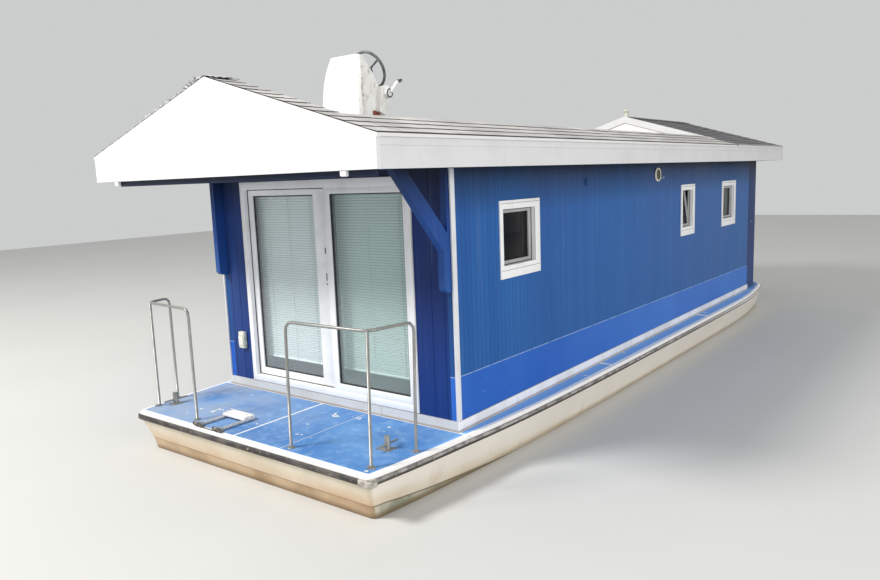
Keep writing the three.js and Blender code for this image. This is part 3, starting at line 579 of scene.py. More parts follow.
def white_paint(name, white, dirt, foot_level=None):
    """Brushed white; a foot level adds dirt and painted shade there, painted light further out."""
    paint = Finish(name)
    patch = paint.noise(3.0, 6.0)
    if foot_level is not None:
        # Painted light: faces out past the skirting's face are painted whiter, as lit.
        lit_outside = abs(paint.axis("X")).fade(SKIRTING_FACE, SKIRTING_FACE + 0.0015)
        white = paint.mix(lit_outside, white, (246, 245, 247))
    marks = paint.noise(18.0, 6.0, (1.0, 1.0, 0.2)).fade(0.62, 0.8) * dirt
    colour = paint.layers(
        white, (patch.fade(0.45, 0.75) * dirt, (186, 180, 170)), (marks, (150, 140, 128)))
    if foot_level is not None:
        # Dirt and painted shade along the foot.
        foot = paint.axis("Z").fade(foot_level + 0.026, foot_level + 0.008)
        colour = paint.mix(foot * (0.45 + 0.4 * patch), colour, (112, 90, 72))
    return paint.surface(
        Base_Color=colour,
        Roughness=patch * 0.2 + 0.35,
        Normal=paint.bump(paint.noise(45.0, 4.0, (1.0, 0.2, 1.0)), 0.0008, 0.4))


def side_block(name, side, depth, ends, heights, edge, segments=2):
    """A block on the port (1) or starboard (-1) side, depth metres out from the middle."""
    near, far = sorted((side * depth[0], side * depth[1]))
    return block(name, (near, ends[0], heights[0]), (far, ends[1], heights[1]), edge, segments)


HANDS = ((1, "port"), (-1, "starboard"))
# The plinth's own white is greyed for dirt and painted shade on its front.
dress(white_paint("plinth_white", (206, 206, 205), 0.5, DECK), "plinth")
trim_finish = white_paint("batten_white", (214, 217, 222), 0.35, DECK)
batten_face = 1.4865
for side, hand in HANDS:
    batten = side_block(
        "batten", side, (1.4702, batten_face), (-0.0165, 0.042), (0.0885, 2.14), 0.003)
    pins = screws(
        "batten_pins", [(side * batten_face, 0.012, 0.3 + 0.35 * step) for step in range(6)],
        (side, 0, 0), 0.0035)
    fitted(merged(f"batten_{hand}", batten, pins), trim_finish, "white_paint")

# Windows: small white PVC units with a wide outside flange, a deeper bottom rail with two drain
# caps, a set-back sash painted grey as shade, black gaskets and dark panes. Thin dark strips on
# the flange are a dirt line and painted shadow, and the panes' colour is painted shade and
# reflection.


def ring(name, low, high, borders, through, edge=0.0025):
    """A flat frame: a block whose broad faces are inset, opened and bridged.

    borders is one width, or the widths at the low and high side of each of the two other axes.
    """
    if isinstance(borders, float):
        borders = ((borders, borders), (borders, borders))
    piece = block(name, low, high)
    axis = "xyz".index(through)
    others = [index for index in range(3) if index != axis]
    open_mesh(piece)
    pick(piece, "polygons", lambda face: abs(face.normal[axis]) > 0.9)
    step = 0.004
    bpy.ops.mesh.inset(thickness=step, depth=0)
    bpy.ops.mesh.delete(type="ONLY_FACE")
    bpy.ops.mesh.select_mode(type="EDGE")
    bpy.ops.mesh.select_all(action="DESELECT")
    bpy.ops.mesh.select_non_manifold()
    bpy.ops.mesh.bridge_edge_loops()
    low, high = at(*low), at(*high)
    for index, (near, far) in zip(others, borders):
        for border, edge_at, sign in ((near, low[index], 1), (far, high[index], -1)):
            inner = edge_at + sign * step
            pick(piece, "vertices", lambda point: abs(point.co[index] - inner) < step / 10)
            shift = [0, 0, 0]
            shift[index] = sign * (border - step)
            bpy.ops.transform.translate(value=shift)
    close_mesh()
    modified(piece, "BEVEL", width=edge, segments=2, limit_method="ANGLE")
    smooth(piece)
    return piece


pvc = Finish("window_pvc")
weather = pvc.noise(5.0, 5.0)
drips = pvc.noise(28.0, 6.0, (1.0, 1.0, 0.15)).fade(0.66, 0.8) * 0.3
pvc_finish = pvc.surface(
    Base_Color=pvc.layers(
        (240, 240, 240), (weather.fade(0.5, 0.8) * 0.4, (206, 202, 194)),
        (drips, (150, 144, 134))),
    Roughness=weather * 0.2 + 0.25,
    Normal=pvc.bump(pvc.noise(120.0, 2.0), 0.0003, 0.3))
# Painted shade: the set-back sashes are the frames' white PVC painted grey.
sash_shaded_pvc = two_tone(
    "sash_pvc_shaded", (176, 177, 180), (150, 150, 150), patch=(6.0, 5.0), spread=(0.4, 0.75),
    rough=(0.2, 0.3))
# Dirt and painted shadow: thin dark strips below the flange's top edge and above its bottom rail.
groove_dirt_and_shade_finish = two_tone(
    "groove_dirt_and_shade", (96, 98, 92), (150, 150, 144), patch=(14.0, 5.0), spread=(0.35, 0.65))
seal_finish = two_tone("rubber_seal", (22, 22, 23), (44, 44, 45), patch=(60.0, 3.0))


def pane(name, deep, lit, clear, tint=(0.9, 0.97, 0.95, 1.0)):
    """Glass: a share shows what is behind, the rest a painted colour for shade and reflection."""
    glass = Finish(name)
    film = glass.noise(1.7, 4.0)
    body = glass.node("ShaderNodeBsdfPrincipled", {}, {
        "Base Color": glass.mix(film.fade(0.3, 0.8), deep, lit), "Roughness": 0.06,
        "Specular IOR Level": 0.15})
    through = glass.node("ShaderNodeBsdfTransparent", {}, {"Color": tint})
    shares = {0: film * 0.04 + clear, 1: body, 2: through}
    glass.node_out(glass.node("ShaderNodeMixShader", {}, shares))
    return glass.material


# Painted shade and reflection: the windows' own colour stands in for the dark cabin behind them and
# what the glass reflects, paler on the aft pair.
dark_glass = pane("dark_glass", (6, 7, 11), (16, 18, 24), 0.06)
pale_glass = pane("pale_glass", (56, 60, 62), (92, 98, 96), 0.1)


def tipped(piece, angle, axis, centre):
    """Turns a piece's mesh by an angle about an axis through a place on the boat."""
    open_mesh(piece)
    bpy.ops.transform.rotate(value=angle, orient_axis=axis, center_override=at(*centre))
    close_mesh()


def side_ring(name, side, depth, ends, heights, borders, edge=0.0025):
    """A frame in the port or starboard wall, placed as side_block does."""
    near, far = sorted((side * depth[0], side * depth[1]))
    return ring(
        name, (near, ends[0], heights[0]), (far, ends[1], heights[1]), borders, "x", edge)


lean = 0.13
for number, fore, aft, panes in (
        (1, 0.688, 1.373, dark_glass), (2, 5.112, 5.642, dark_glass),
        (3, 6.86, 7.545, pale_glass)):
    for side, hand in HANDS:
        flange = side_ring("flange", side, (1.4703, 1.4838), (fore, aft), (1.17, 1.852),
                           ((0.052, 0.086), (0.112, 0.076)))
        lining = side_ring("lining", side, (1.4102, 1.471), (fore + 0.015, aft - 0.015),
                           (1.185, 1.837), ((0.037, 0.071), (0.097, 0.061)))
        leaf = side_ring(f"window_sash_{hand}_{number}", side, (1.4, 1.438),
                         (fore + 0.053, aft - 0.087), (1.283, 1.775),
                         ((0.034, 0.046), (0.036, 0.034)), 0.004)
        gasket = side_ring("gasket", side, (1.414, 1.422), (fore + 0.082, aft - 0.128),
                           (1.314, 1.746), 0.009, 0.001)
        rebate = side_ring("rebate", side, (1.4382, 1.4402), (fore + 0.0525, aft - 0.0865),
                           (1.2825, 1.7755), 0.008, 0.0005)
        sheet = side_block(f"window_glass_{hand}_{number}", side, (1.416, 1.42),
                           (fore + 0.084, aft - 0.13), (1.316, 1.744), 0.001)
        if number == 2 and hand == "port":
            for piece in (leaf, gasket, sheet):
                tipped(piece, side * lean, "Y", (side * 1.419, 0, 1.296))
        grooves = [side_block("groove", side, (1.4836, 1.485), (fore + 0.014, aft - 0.014),
                              (z, z + 0.004), 0.0005) for z in (1.824, 1.24)]
        caps = [side_block("cap", side, (1.4835, 1.4868), (y - 0.016, y + 0.016),
                           (1.196, 1.206), 0.001) for y in (fore + 0.14, aft - 0.14)]
        unit = merged(f"window_frame_{hand}_{number}", flange, lining, *caps)
        fitted(unit, pvc_finish, "pvc", f"window_{hand}_{number}")
        fitted(leaf, sash_shaded_pvc, "pvc")
        seals = merged(f"window_seal_{hand}_{number}", gasket, rebate)
        fitted(seals, seal_finish, "rail_rubber")
        fitted(merged(f"window_grooves_{hand}_{number}", *grooves), groove_dirt_and_shade_finish, "pvc")
        fitted(sheet, panes, "pvc")

# Terrace door: a white PVC frame across most of the front, a fixed sash to port and a sliding
# leaf to starboard on an inner track, with black seals round grey-green double glazing whose
# sheen and shade are painted into the panes.
# Painted reflection and shade: the panes' own pale colour stands in for the sky's sheen on the
# glass, greyer on the fixed sash as in shade and paler on the sliding leaf as lit.
fixed_glass = pane(
    "fixed_glass", (186, 198, 197), (206, 215, 214), 0.78, (0.95, 1.0, 0.98, 1.0))
leaf_glass = pane(
    "leaf_glass", (232, 240, 240), (246, 250, 250), 0.84, (0.98, 1.0, 1.0, 1.0))
outer = ring("outer", (-1.112, -0.015, 0.094), (1.071, 0.09, 2.094),
             ((0.056, 0.056), (0.06, 0.074)), "y", 0.004)
lip = ring("lip", (-1.108, -0.0149, 0.098), (1.067, -0.002, 2.09),
           ((0.03, 0.03), (0.04, 0.034)), "y", 0.003)
track = block("track", (-1.054, 0.05, 0.153), (1.013, 0.058, 0.16), 0.001)
fitted(merged("door_surround", outer, lip, track), pvc_finish, "pvc", "door_frame")
fixed = ring("door_fixed_sash", (0.062, -0.01, 0.1543), (1.0147, 0.028, 2.0197),
             ((0.07, 0.03), (0.068, 0.056)), "y", 0.004)
fitted(fixed, pvc_finish, "pvc", "door_fixed")
sliding = ring("sliding", (-1.05, 0.034, 0.1603), (0.062, 0.074, 2.014),
               ((0.068, 0.188), (0.068, 0.056)), "y", 0.004)
grip = block("grip", (-0.01, 0.031, 1.1), (0.022, 0.0345, 1.49), 0.0015)
fitted(merged("door_sliding_sash", sliding, grip),
       pvc_finish, "pvc", "door_leaf", body="front_leaf")
latch = block("latch", (0.0, 0.0296, 1.17), (0.012, 0.0312, 1.24), 0.0006)
keep = block("keep", (0.0, 0.0296, 1.42), (0.012, 0.0312, 1.475), 0.0006)
keyhole = turned("keyhole", ((0, 0.008), (0.0018, 0.008), (0.0018, 0.004), (0.0006, 0.003)),
                 (0.006, 0.0312, 1.14), (0, -1, 0), 16)
fitted(merged("door_latch", latch, keep, keyhole), seal_finish, "black_plastic", body="front_leaf")


def pane_seal(width, heights, seal_depth, bar_depth):
    """The black seal round a pane and the dark bar inside its starboard edge."""
    (near, far), (foot, top) = width, heights
    seal = ring("seal", (near, seal_depth[0], foot), (far, seal_depth[1], top),
                ((0.016, 0.012), (0.012, 0.012)), "y", 0.001)
    bar = block("bar", (near + 0.023, bar_depth[0], foot + 0.003),
                (near + 0.039, bar_depth[1], top - 0.003), 0.001)
    return seal, bar


fixed_seal = pane_seal((0.131, 0.986), (0.221, 1.965), (0.0, 0.024), (0.019, 0.0235))
fitted(merged("door_fixed_seal", *fixed_seal), seal_finish, "rail_rubber")
leaf_seal = pane_seal((-0.983, -0.125), (0.227, 1.959), (0.046, 0.066), (0.0605, 0.065))
leaf_edge = ring("leaf_edge", (-1.056, 0.03, 0.156), (0.056, 0.0338, 2.018),
                 ((0.007, 0.003), (0.004, 0.007)), "y", 0.0005)
meeting = block("meeting", (0.028, 0.0302, 0.164), (0.0345, 0.0338, 2.01), 0.001)
fitted(merged("door_leaf_seal", *leaf_seal, leaf_edge, meeting),
       seal_finish, "rail_rubber", body="front_leaf")
fitted(block("door_fixed_glass", (0.132, 0.008, 0.222), (0.985, 0.018, 1.964), 0.001),
       fixed_glass, "pvc")
fitted(block("door_leaf_glass", (-0.982, 0.05, 0.228), (-0.126, 0.06, 1.958), 0.001),
       leaf_glass, "pvc", body="front_leaf")

# Blinds: venetian blinds hung inside the door, thin slats on three tapes, with a head box and a
# hanger above and a weighted rail at the bottom.
slat_paint = Finish("blind_slats")
first_slat, slat_pitch, slat_count, slat_tilt = 0.3563, 0.0248, 66, 1.34
slat_steps = (slat_paint.axis("Z") - (first_slat + DECK)) * (1 / slat_pitch)
step_up = slat_steps.maths("FRACT", slat_steps)
# Painted shade: dark lines between the slats, where each overlaps the next.
gap_shade = (step_up.fade(0.3, 0.1) + step_up.fade(0.8, 0.96)) * 0.55
slat_finish = slat_paint.surface(
    Base_Color=slat_paint.layers(
        (250, 253, 252), (slat_paint.noise(3.0, 3.0), (238, 245, 242)), (gap_shade, (112, 128, 126))),
    Roughness=0.45)
for hand, near, far in (("starboard", -1.01, -0.11), ("port", -0.06, 1.01)):
    slat = block("slat", (near + 0.004, 0.101, first_slat - 0.0003),
                 (far - 0.004, 0.127, first_slat + 0.0003))
    tipped(slat, slat_tilt, "X", (0, 0.114, first_slat))
    modified(slat, "ARRAY", use_relative_offset=False, use_constant_offset=True,
             constant_offset_displace=(0, 0, slat_pitch), count=slat_count)
    rail = block("rail", (near, 0.105, 0.331), (far, 0.123, 0.347), 0.003)
    head = block("head", (near, 0.0606, 2.0965), (far, 0.1275, 2.149), 0.004)
    hanger = block("hanger", (near, 0.1, 1.985), (far, 0.127, 2.098), 0.003)
    tapes = [block("tape", (x - 0.004, 0.1032, 0.34), (x + 0.004, 0.104, 1.99))
             for x in (near + (far - near) * share for share in (0.16, 0.5, 0.84))]
    blind = merged(f"blind_slats_{hand}", slat, rail, head, hanger, *tapes)
    fitted(blind, slat_finish, "slats", f"blind_{hand}")

# Stern door: a white panelled door with a dark light in its upper half and a lever handle.
dress(pvc_finish, "stern_door")
fitted(block("stern_door_glass", (-0.29, 8.2985, 1.15), (0.29, 8.3035, 1.88), 0.001),
       dark_glass, "pvc", body="stern_leaf")
panel = ring("panel", (-0.29, 8.3098, 0.23), (0.29, 8.3165, 1.0), 0.022, "y", 0.003)
bead = ring("bead", (-0.305, 8.3098, 1.135), (0.305, 8.3165, 1.895), 0.016, "y", 0.003)
fitted(merged("stern_door_mouldings", panel, bead), pvc_finish, "pvc", body="stern_leaf")

# Roof: white painted eaves boards and gable boards round a flat deck covered in grey felt, with
# a navy-blue boarded soffit below.
eaves_finish = white_paint("eaves_white", (227, 227, 228), 0.2)
# Painted shade: the fascia boards along the sides are the eaves' white painted greyer.
fascia_white_in_shade = white_paint("fascia_white_shaded", (219, 218, 220), 0.2)
dress(eaves_finish, "gable_bow", "gable_stern")
dress(fascia_white_in_shade, "fascia_port", "fascia_starboard")
felt = Finish("roof_deck_felt")
felt_top = felt.mix(felt.noise(1.3, 6.0).fade(0.35, 0.7), (104, 106, 108), (140, 141, 140))
soffit = felt.mix(felt.noise(2.0, 4.0), (24, 44, 96), (34, 56, 112))
seams = felt.bands(2.6).fade(0.0, 0.05) * felt.axis("Z").fade(2.95, 2.9)
dress(felt.surface(
    Base_Color=felt.mix(felt.axis("Z").fade(2.9, 2.95), soffit, felt_top),
    Roughness=0.85,
    Normal=felt.bump(felt.noise(260.0, 3.0) * 0.3 + seams, 0.002, 0.6)), "roof_slab")

gable_boards = Finish("gable_wall_boards")
boarding = gable_boards.bands(1.6)
dress(gable_boards.surface(
    Base_Color=gable_boards.layers(
        (255, 252, 250), (gable_boards.noise(2.0, 5.0).fade(0.35, 0.7), (252, 247, 243)),
        (boarding.fade(0.05, 0.0) * 0.1, (150, 132, 122))),
    Roughness=0.6,
    Normal=gable_boards.bump(boarding.fade(0.0, 0.06), 0.004, 0.6)), "gable_wall")
SLOPE, RIDGE = 0.30375, 2.9003


def outward(piece):
    """Turns all of a piece's faces to look outwards."""
    open_mesh(piece)
    bpy.ops.mesh.normals_make_consistent(inside=False)
    close_mesh()


def sloped(piece, side):
    """Drops a level piece onto the roof's slope on one side of the ridge."""
    for point in piece.data.vertices:
        point.co.z += RIDGE - SLOPE * point.co.x
        point.co.x *= side
    outward(piece)
    return piece


rakes = [sloped(block("rake", (0.0, 6.664, -0.088), (1.42, 6.6837, 0.012)), side)
         for side, hand in HANDS]
fitted(merged("gable_wall_rakes", *rakes), eaves_finish, "white_paint")

# Bow gable: a white face over the boards and the shingles' ends, a navy board behind their foot,
# and two small white lamps on it.
face_foot, face_ridge, face_width = 2.142, 2.8722, 1.7348
faces = []
for side, hand in HANDS:
    face = block("face", (0.0, -1.1216, face_foot), (face_width, -1.1135, 2.34))
    for point in face.data.vertices:
        if point.co.z > DECK + face_foot + 0.1:
            point.co.z = face_ridge + DECK - SLOPE * point.co.x
        point.co.x *= side
    outward(face)
    faces.append(face)
fitted(merged("gable_bow_face", *faces), eaves_finish, "white_paint")
edge_board = block("edge_board", (-1.4, -1.083, 2.094), (1.69, -1.06, 2.1495), 0.003)
fitted(edge_board, screen_paint, "navy_paint")
for side, hand in HANDS:
    case = side_block(
        "case", side, (1.39, 1.446), (-1.116, -1.0831), (2.104, 2.139), 0.005, 3)
    lens = side_block(
        "lens", side, (1.396, 1.44), (-1.111, -1.088), (2.1005, 2.1045), 0.0015)
    fitted(merged(f"bow_lamp_{hand}", case, lens), pvc_finish, "pvc")

# Shingles: grey mineral felt tabs nailed in courses from the eaves up, each course half a tab
# out of step with the one below, weathered pale along the sides and darker over the stern.
EAVES_OUT, ROOF_FRONT = 1.7448, -5.535


def shingle_felt(name, main, pale, joint, lapped):
    """Felt; lapped is how far its turned-down outer edges are painted like the boards."""
    felt = Finish(name)
    patches, grit = felt.noise(1.4, 5.0), felt.noise(320.0, 2.0)
    cells = felt.node(
        "ShaderNodeVectorMath", {"operation": "FLOOR"}, {0: felt.place((7.2, 3.0, 0.0))})
    tab = felt.node(
        "ShaderNodeTexWhiteNoise", {"noise_dimensions": "2D"}, {"Vector": cells}, "Value")
    side = abs(felt.axis("X")).fade(EAVES_OUT - 0.0043, EAVES_OUT - 0.0023)
    # Painted shadow: faces that don't look up, the tabs' cut edges, are darkened as the shade under
    # each course.
    tab_edge_shade = felt.facing("Z").fade(0.8, 0.3) * 0.9 * (1 - side * lapped)
    upright = felt.facing("Z").fade(0.5, 0.2)
    front = felt.axis("Y").fade(ROOF_FRONT, ROOF_FRONT - 0.002) * upright
    edge = front.least(side * upright * felt.facing("Z").fade(-0.6, -0.3))
    colour = felt.layers(
        main, (patches.fade(0.35, 0.7), pale), (tab * 0.3, joint),
        (grit.fade(0.45, 0.7) * 0.3, joint),
        (felt.noise(5.0, 7.0).fade(0.62, 0.72) * 0.35, (176, 172, 150)),
        (tab_edge_shade, (50, 48, 47)), (edge * lapped, (226, 225, 225)))
    return felt.surface(
        Base_Color=colour, Roughness=0.9, Specular_IOR_Level=0.3,
        Normal=felt.bump(grit, 0.0015, 0.7))


side_tones = ((196, 194, 193), (220, 217, 214), (116, 114, 113))
shingle_finish = shingle_felt("shingle_side", *side_tones, 0.0)
edge_shingle = shingle_felt("shingle_edge", *side_tones, 1.0)
stern_shingle = shingle_felt(
    "shingle_stern", (112, 112, 116), (142, 141, 143), (74, 74, 78), 1.0)
dress(edge_shingle, "skirt_port", "skirt_starboard", "roof_bow")
dress(stern_shingle, "roof_stern")
TAB_WIDTH, TAB_THICK = 0.328, 0.006
COURSE = 0.145 * math.cos(math.atan(SLOPE))


def courses(name, side, fore, aft, top, seed):
    """Courses of tabs on one slope, from the eaves to where the slope reaches top metres out."""
    dice = random.Random(seed)
    count = max(1, round((aft - fore) / TAB_WIDTH))
    wide = (aft - fore) / count
    tabs = []
    out = EAVES_OUT
    row = 0
    while out - COURSE * 0.35 > top:
        inner = max(out - COURSE * 1.02, top)
        shift = (row % 2) * 0.5
        for step in range(count + (row % 2)):
            start = max(fore, fore + (step - shift) * wide) + 0.003
            stop = min(aft, fore + (step + 1 - shift) * wide) - 0.003
            if stop - start < 0.03:
                continue
            lift = dice.uniform(0.0, 0.002)
            reach = out + dice.uniform(-0.002, 0.0)
            tab = block("tab", (inner, start, 0), (reach, stop, TAB_THICK))
            for point in tab.data.vertices:
                tilt = (0.005 + lift) if point.co.x > (inner + reach) / 2 else 0.0
                raised = (point.co.z - DECK) * 0.8
                point.co.z = DECK + RIDGE - SLOPE * point.co.x + raised + tilt
                point.co.x *= side
            tabs.append(tab)
        out = inner
        row += 1
    laid = merged(name, *tabs)
    outward(laid)
    return laid


for side, hand in HANDS:
    for place, fore, aft, top, tab_finish in (
            ("skirt", -0.868, 6.682, 1.19, shingle_finish),
            ("stern", 6.702, 9.392, 0.02, stern_shingle),
            ("bow", -1.1215, -0.868, 0.02, shingle_finish)):
        seed = 31 + side + int(fore * 10)
        laid = courses(f"shingles_{place}_{hand}", side, fore, aft, top, seed)
        fitted(laid, tab_finish, "shingle")


def crumpled(piece, cuts):
    """Cuts a piece's faces up, so that its points can be moved one by one."""
    open_mesh(piece)
    bpy.ops.mesh.subdivide(number_cuts=cuts)
    close_mesh()


def ridge_cap(name, fore, aft, pieces, ruffle, seed):
    """Lapped felt strips folded over the ridge, crumpled by as much as ruffle."""
    dice = random.Random(seed)
    wing = 0.105
    strips = []
    for step in range(pieces):
        start = fore + (aft - fore) * step / pieces
        stop = min(aft, fore + (aft - fore) * (step + 1) / pieces + 0.02)
        for side, hand in HANDS:
            strip = block("strip", (0.0, start, 0.0115), (wing, stop, 0.0155))
            crumpled(strip, 3)
            for point in strip.data.vertices:
                outermost = min(1.0, point.co.x / wing)
                lap = 0.003 * (stop - point.co.y + CABIN_FRONT)
                point.co.z += outermost * dice.uniform(0.0, ruffle) + lap
            strips.append(sloped(strip, side))
    return merged(name, *strips)


stern_ridge = ridge_cap("ridge_cap_stern", 6.702, 9.392, 9, 0.001, 5)
fitted(stern_ridge, stern_shingle, "shingle")

# Torn felt: pale curled scraps along the starboard rake of the bow gable where tabs have lifted,
# and two crumpled strips on its ridge.
torn_finish = two_tone(
    "torn_felt", (232, 231, 234), (150, 151, 160), patch=(30.0, 4.0), spread=(0.4, 0.6),
    rough=0.9, grain=((90.0, 3.0), 0.002, 0.7))
dice = random.Random(17)
scraps = []
for step in range(26):
    out = 0.05 + 0.88 * (step / 25) ** 0.9 + dice.uniform(-0.015, 0.015)
    size = dice.uniform(0.025, 0.065)
    scrap = block("scrap", (out, -1.1205, 0.004),
                  (out + size, -1.1205 + dice.uniform(0.02, 0.05), 0.007))
    crumpled(scrap, 2)
    curl = dice.uniform(0.01, 0.034) + (0.022 if step < 5 else 0.0)
    for point in scrap.data.vertices:
        share = (point.co.x - out) / size
        point.co.z += curl * share * share + dice.uniform(0.0, 0.003)
    scraps.append(sloped(scrap, -1))
folded = ridge_cap("folded", -1.1215, -0.868, 2, 0.013, 8)
fitted(merged("torn_ridge_felt", folded, *scraps), torn_finish, "shingle")

# Flue pot: a short cream clay pot with a flared lip on the stern ridge.
clay_finish = two_tone(
    "pot_clay", (226, 225, 212), (178, 182, 164), patch=(18.0, 5.0), spread=(0.4, 0.7),
    rough=0.75, grain=((60.0, 3.0), 0.001, 0.5))
pot = turned("flue_pot", ((0, 0.052), (0.012, 0.05), (0.018, 0.036), (0.082, 0.033),
                          (0.086, 0.046), (0.108, 0.048), (0.114, 0.044), (0.114, 0.034),
                          (0.07, 0.03)), (0, 6.745, 2.902))
fitted(pot, clay_finish, "white_paint")

# Fittings on the walls: a round cream vent with slats and a hook, a blue cover, a shore socket
# box with a hinged flap by the door, and screws in the stern screens.
wall_face = 1.474
vent_y, vent_z = 4.285, 2.004
vent_rim = turned("vent_rim", ((0, 0.084), (0.006, 0.086), (0.016, 0.081), (0.018, 0.074),
                               (0.014, 0.062), (0.003, 0.06)),
                  (wall_face, vent_y, vent_z), (1, 0, 0), 32)
shank = turned("shank", ((0, 0.008), (0.003, 0.008), (0.003, 0.003), (0.034, 0.003),
                         (0.036, 0.0015)), (wall_face, 4.405, 1.958), (1, 0, 0), 10)
tip = turned("tip", ((0, 0.003), (0.022, 0.003), (0.024, 0.0015)),
             (1.508, 4.405, 1.956), (0, 0.3, 1), 10)
louvres = [block("louvre", (1.4765, vent_y - half, z), (1.487, vent_y + half, z + 0.003))
           for z, half in ((1.958, 0.036), (1.974, 0.05), (1.99, 0.057), (2.006, 0.058),
                           (2.022, 0.054), (2.038, 0.044))]
vent_paint = Finish("vent_cream")
out_y = vent_paint.axis("Y") - (vent_y + CABIN_FRONT)
out_z = vent_paint.axis("Z") - (vent_z + DECK)
square = out_y * out_y + out_z * out_z
radius = square.maths("SQRT", square)
vent_finish = vent_paint.surface(
    Base_Color=vent_paint.mix(radius.fade(0.068, 0.062), (222, 218, 200), (96, 94, 76)),
    Roughness=vent_paint.noise(20.0, 4.0) * 0.3 + 0.4)
fitted(merged("wall_vent", vent_rim, shank, tip, *louvres), vent_finish, "pvc")
cover = turned("blue_cover", ((0, 0.034), (0.004, 0.035), (0.01, 0.03), (0.012, 0.02),
                              (0.0125, 0.004)), (wall_face, 2.36, 1.967), (1, 0, 0))
fitted(cover, side_paint, "wall_blue")
box = block("box", (-1.275, -0.042, 0.412), (-1.19, -0.0003, 0.583), 0.007, 3)
flap = block("flap", (-1.268, -0.05, 0.44), (-1.197, -0.0415, 0.54), 0.004)
hinge = block("hinge", (-1.262, -0.05, 0.545), (-1.204, -0.042, 0.553), 0.002)
box_screws = screws(
    "box_screws", [(x, -0.042, z) for x in (-1.265, -1.2) for z in (0.424, 0.571)],
    (0, -1, 0), 0.004)
fitted(merged("shore_socket", box, flap, hinge, box_screws), clay_finish, "pvc")
for side, hand in HANDS:
    heads = screws(f"screen_screws_{hand}", [(side * 1.45, y, 1.13) for y in (8.34, 8.57)],
                   (side, 0, 0), 0.008)
    fitted(heads, pvc_finish, "steel")

# Helm: a white moulded pedestal on the roof deck, softly rounded, streaked with green and brown
# dirt down its port side.


def softened(node, name, edge, angle=0.6):
    """A copy of a node's mesh with its edges eased and its curves shaded smooth."""
    piece = copy_of(node, name)
    bpy.ops.mesh.select_all(action="SELECT")
    bpy.ops.mesh.dissolve_limited(angle_limit=0.02)
    close_mesh()
    if edge:
        modified(piece, "BEVEL", width=edge, segments=2, limit_method="ANGLE", angle_limit=0.7)
    smooth(piece, angle)
    return piece


shell = Finish("helm_gelcoat")
stain = shell.noise(8.0, 8.0, (1.0, 1.0, 0.4))
specks = shell.noise(34.0, 6.0, (1.0, 1.0, 0.5)).fade(0.56, 0.66)
port_side = shell.facing("X").fade(0.4, 0.9)
shell_finish = shell.surface(
    Base_Color=shell.layers(
        (250, 249, 246), (port_side * stain.fade(0.46, 0.7) * 0.4, (196, 188, 170)),
        (port_side * specks * stain.fade(0.4, 0.6) * 0.6, (128, 116, 98))),
    Roughness=stain * 0.2 + 0.25,
    Normal=shell.bump(shell.noise(40.0, 3.0), 0.0006, 0.4))
console = softened("helm_console", "helm_pedestal", 0.01, 0.8)
fitted(console, shell_finish, "console_shell", "helm_console")

# Engine control: a side-mounted box with a dark ring round its hub, a white lever with a dark
# grip, and a rusty angle bracket below it.
black_finish = two_tone(
    "black_plastic", (66, 67, 68), (104, 103, 100), patch=(20.0, 3.0), rough=0.5,
    grain=((200.0, 2.0), 0.0004, 0.4))
control = softened("helm_control", "engine_control", 0.003, 0.7)
fitted(control, shell_finish, "console_shell", "helm_control")
hub_ring = added(
    "hub_ring", bpy.ops.mesh.primitive_torus_add, major_radius=0.036, minor_radius=0.007,
    major_segments=32, minor_segments=10, location=at(0.35, 0.632, 2.857),
    rotation=(0, math.pi / 2, 0))
settle()
smooth(hub_ring, 1.0)
lever = turned("lever", ((0, 0.017), (0.01, 0.019), (0.06, 0.016), (0.14, 0.0125),
                         (0.146, 0.008)), (0.351, 0.64, 2.866), (0.008, 0.105, 0.106), 16)
fitted(lever, shell_finish, "console_shell")
lever_tip = turned("lever_tip", ((0, 0.0135), (0.01, 0.0155), (0.052, 0.0155),
                                 (0.068, 0.0125), (0.076, 0.006)),
                   (0.3502, 0.7385, 2.9663), (0.005, 0.082, 0.0235), 16)
fitted(merged("control_ring_and_grip", hub_ring, lever_tip), black_finish, "black_plastic")
rust_finish = two_tone(
    "rusty_bracket", (166, 84, 62), (96, 58, 46), patch=(40.0, 6.0), spread=(0.4, 0.65),
    rough=(0.2, 0.7), grain=((40.0, 6.0), 0.0015, 0.8))
flat = block("flat", (0.2644, 0.49, 2.6), (0.2684, 0.57, 2.7), 0.001)
foot = block("foot", (0.2684, 0.49, 2.65), (0.306, 0.57, 2.654), 0.001)
stay = turned("stay", ((0, 0.005), (0.062, 0.005)), (0.268, 0.5, 2.605), (0.6, 0.5, 0.75), 10)
fitted(merged("control_bracket", flat, foot, stay), rust_finish, "steel")

# Steering wheel: a thin weathered plastic rim, grey in patches that are partly sun-bleached and
# partly painted highlight, on spokes round a domed hub.
# The rim's lighter grey patches are partly sun bleaching and partly painted highlight.
wheel_bleach_and_highlight = two_tone(
    "wheel_plastic", (62, 68, 74), (120, 124, 124), patch=(12.0, 5.0), spread=(0.35, 0.65),
    rough=(0.3, 0.35), grain=((150.0, 3.0), 0.0005, 0.4))
wheel = softened("steering_wheel", "wheel_rim_and_spokes", 0.0, 1.0)
dome = turned("dome", ((0, 0.034), (0.006, 0.036), (0.014, 0.03), (0.019, 0.018), (0.0205, 0.004)),
              (0, 0.753, 3.1098), (0, 0.9, 0.43589))
fitted(merged("wheel_rim_and_spokes", wheel, dome),
       wheel_bleach_and_highlight, "black_plastic", "steering_wheel", body="helm_wheel")

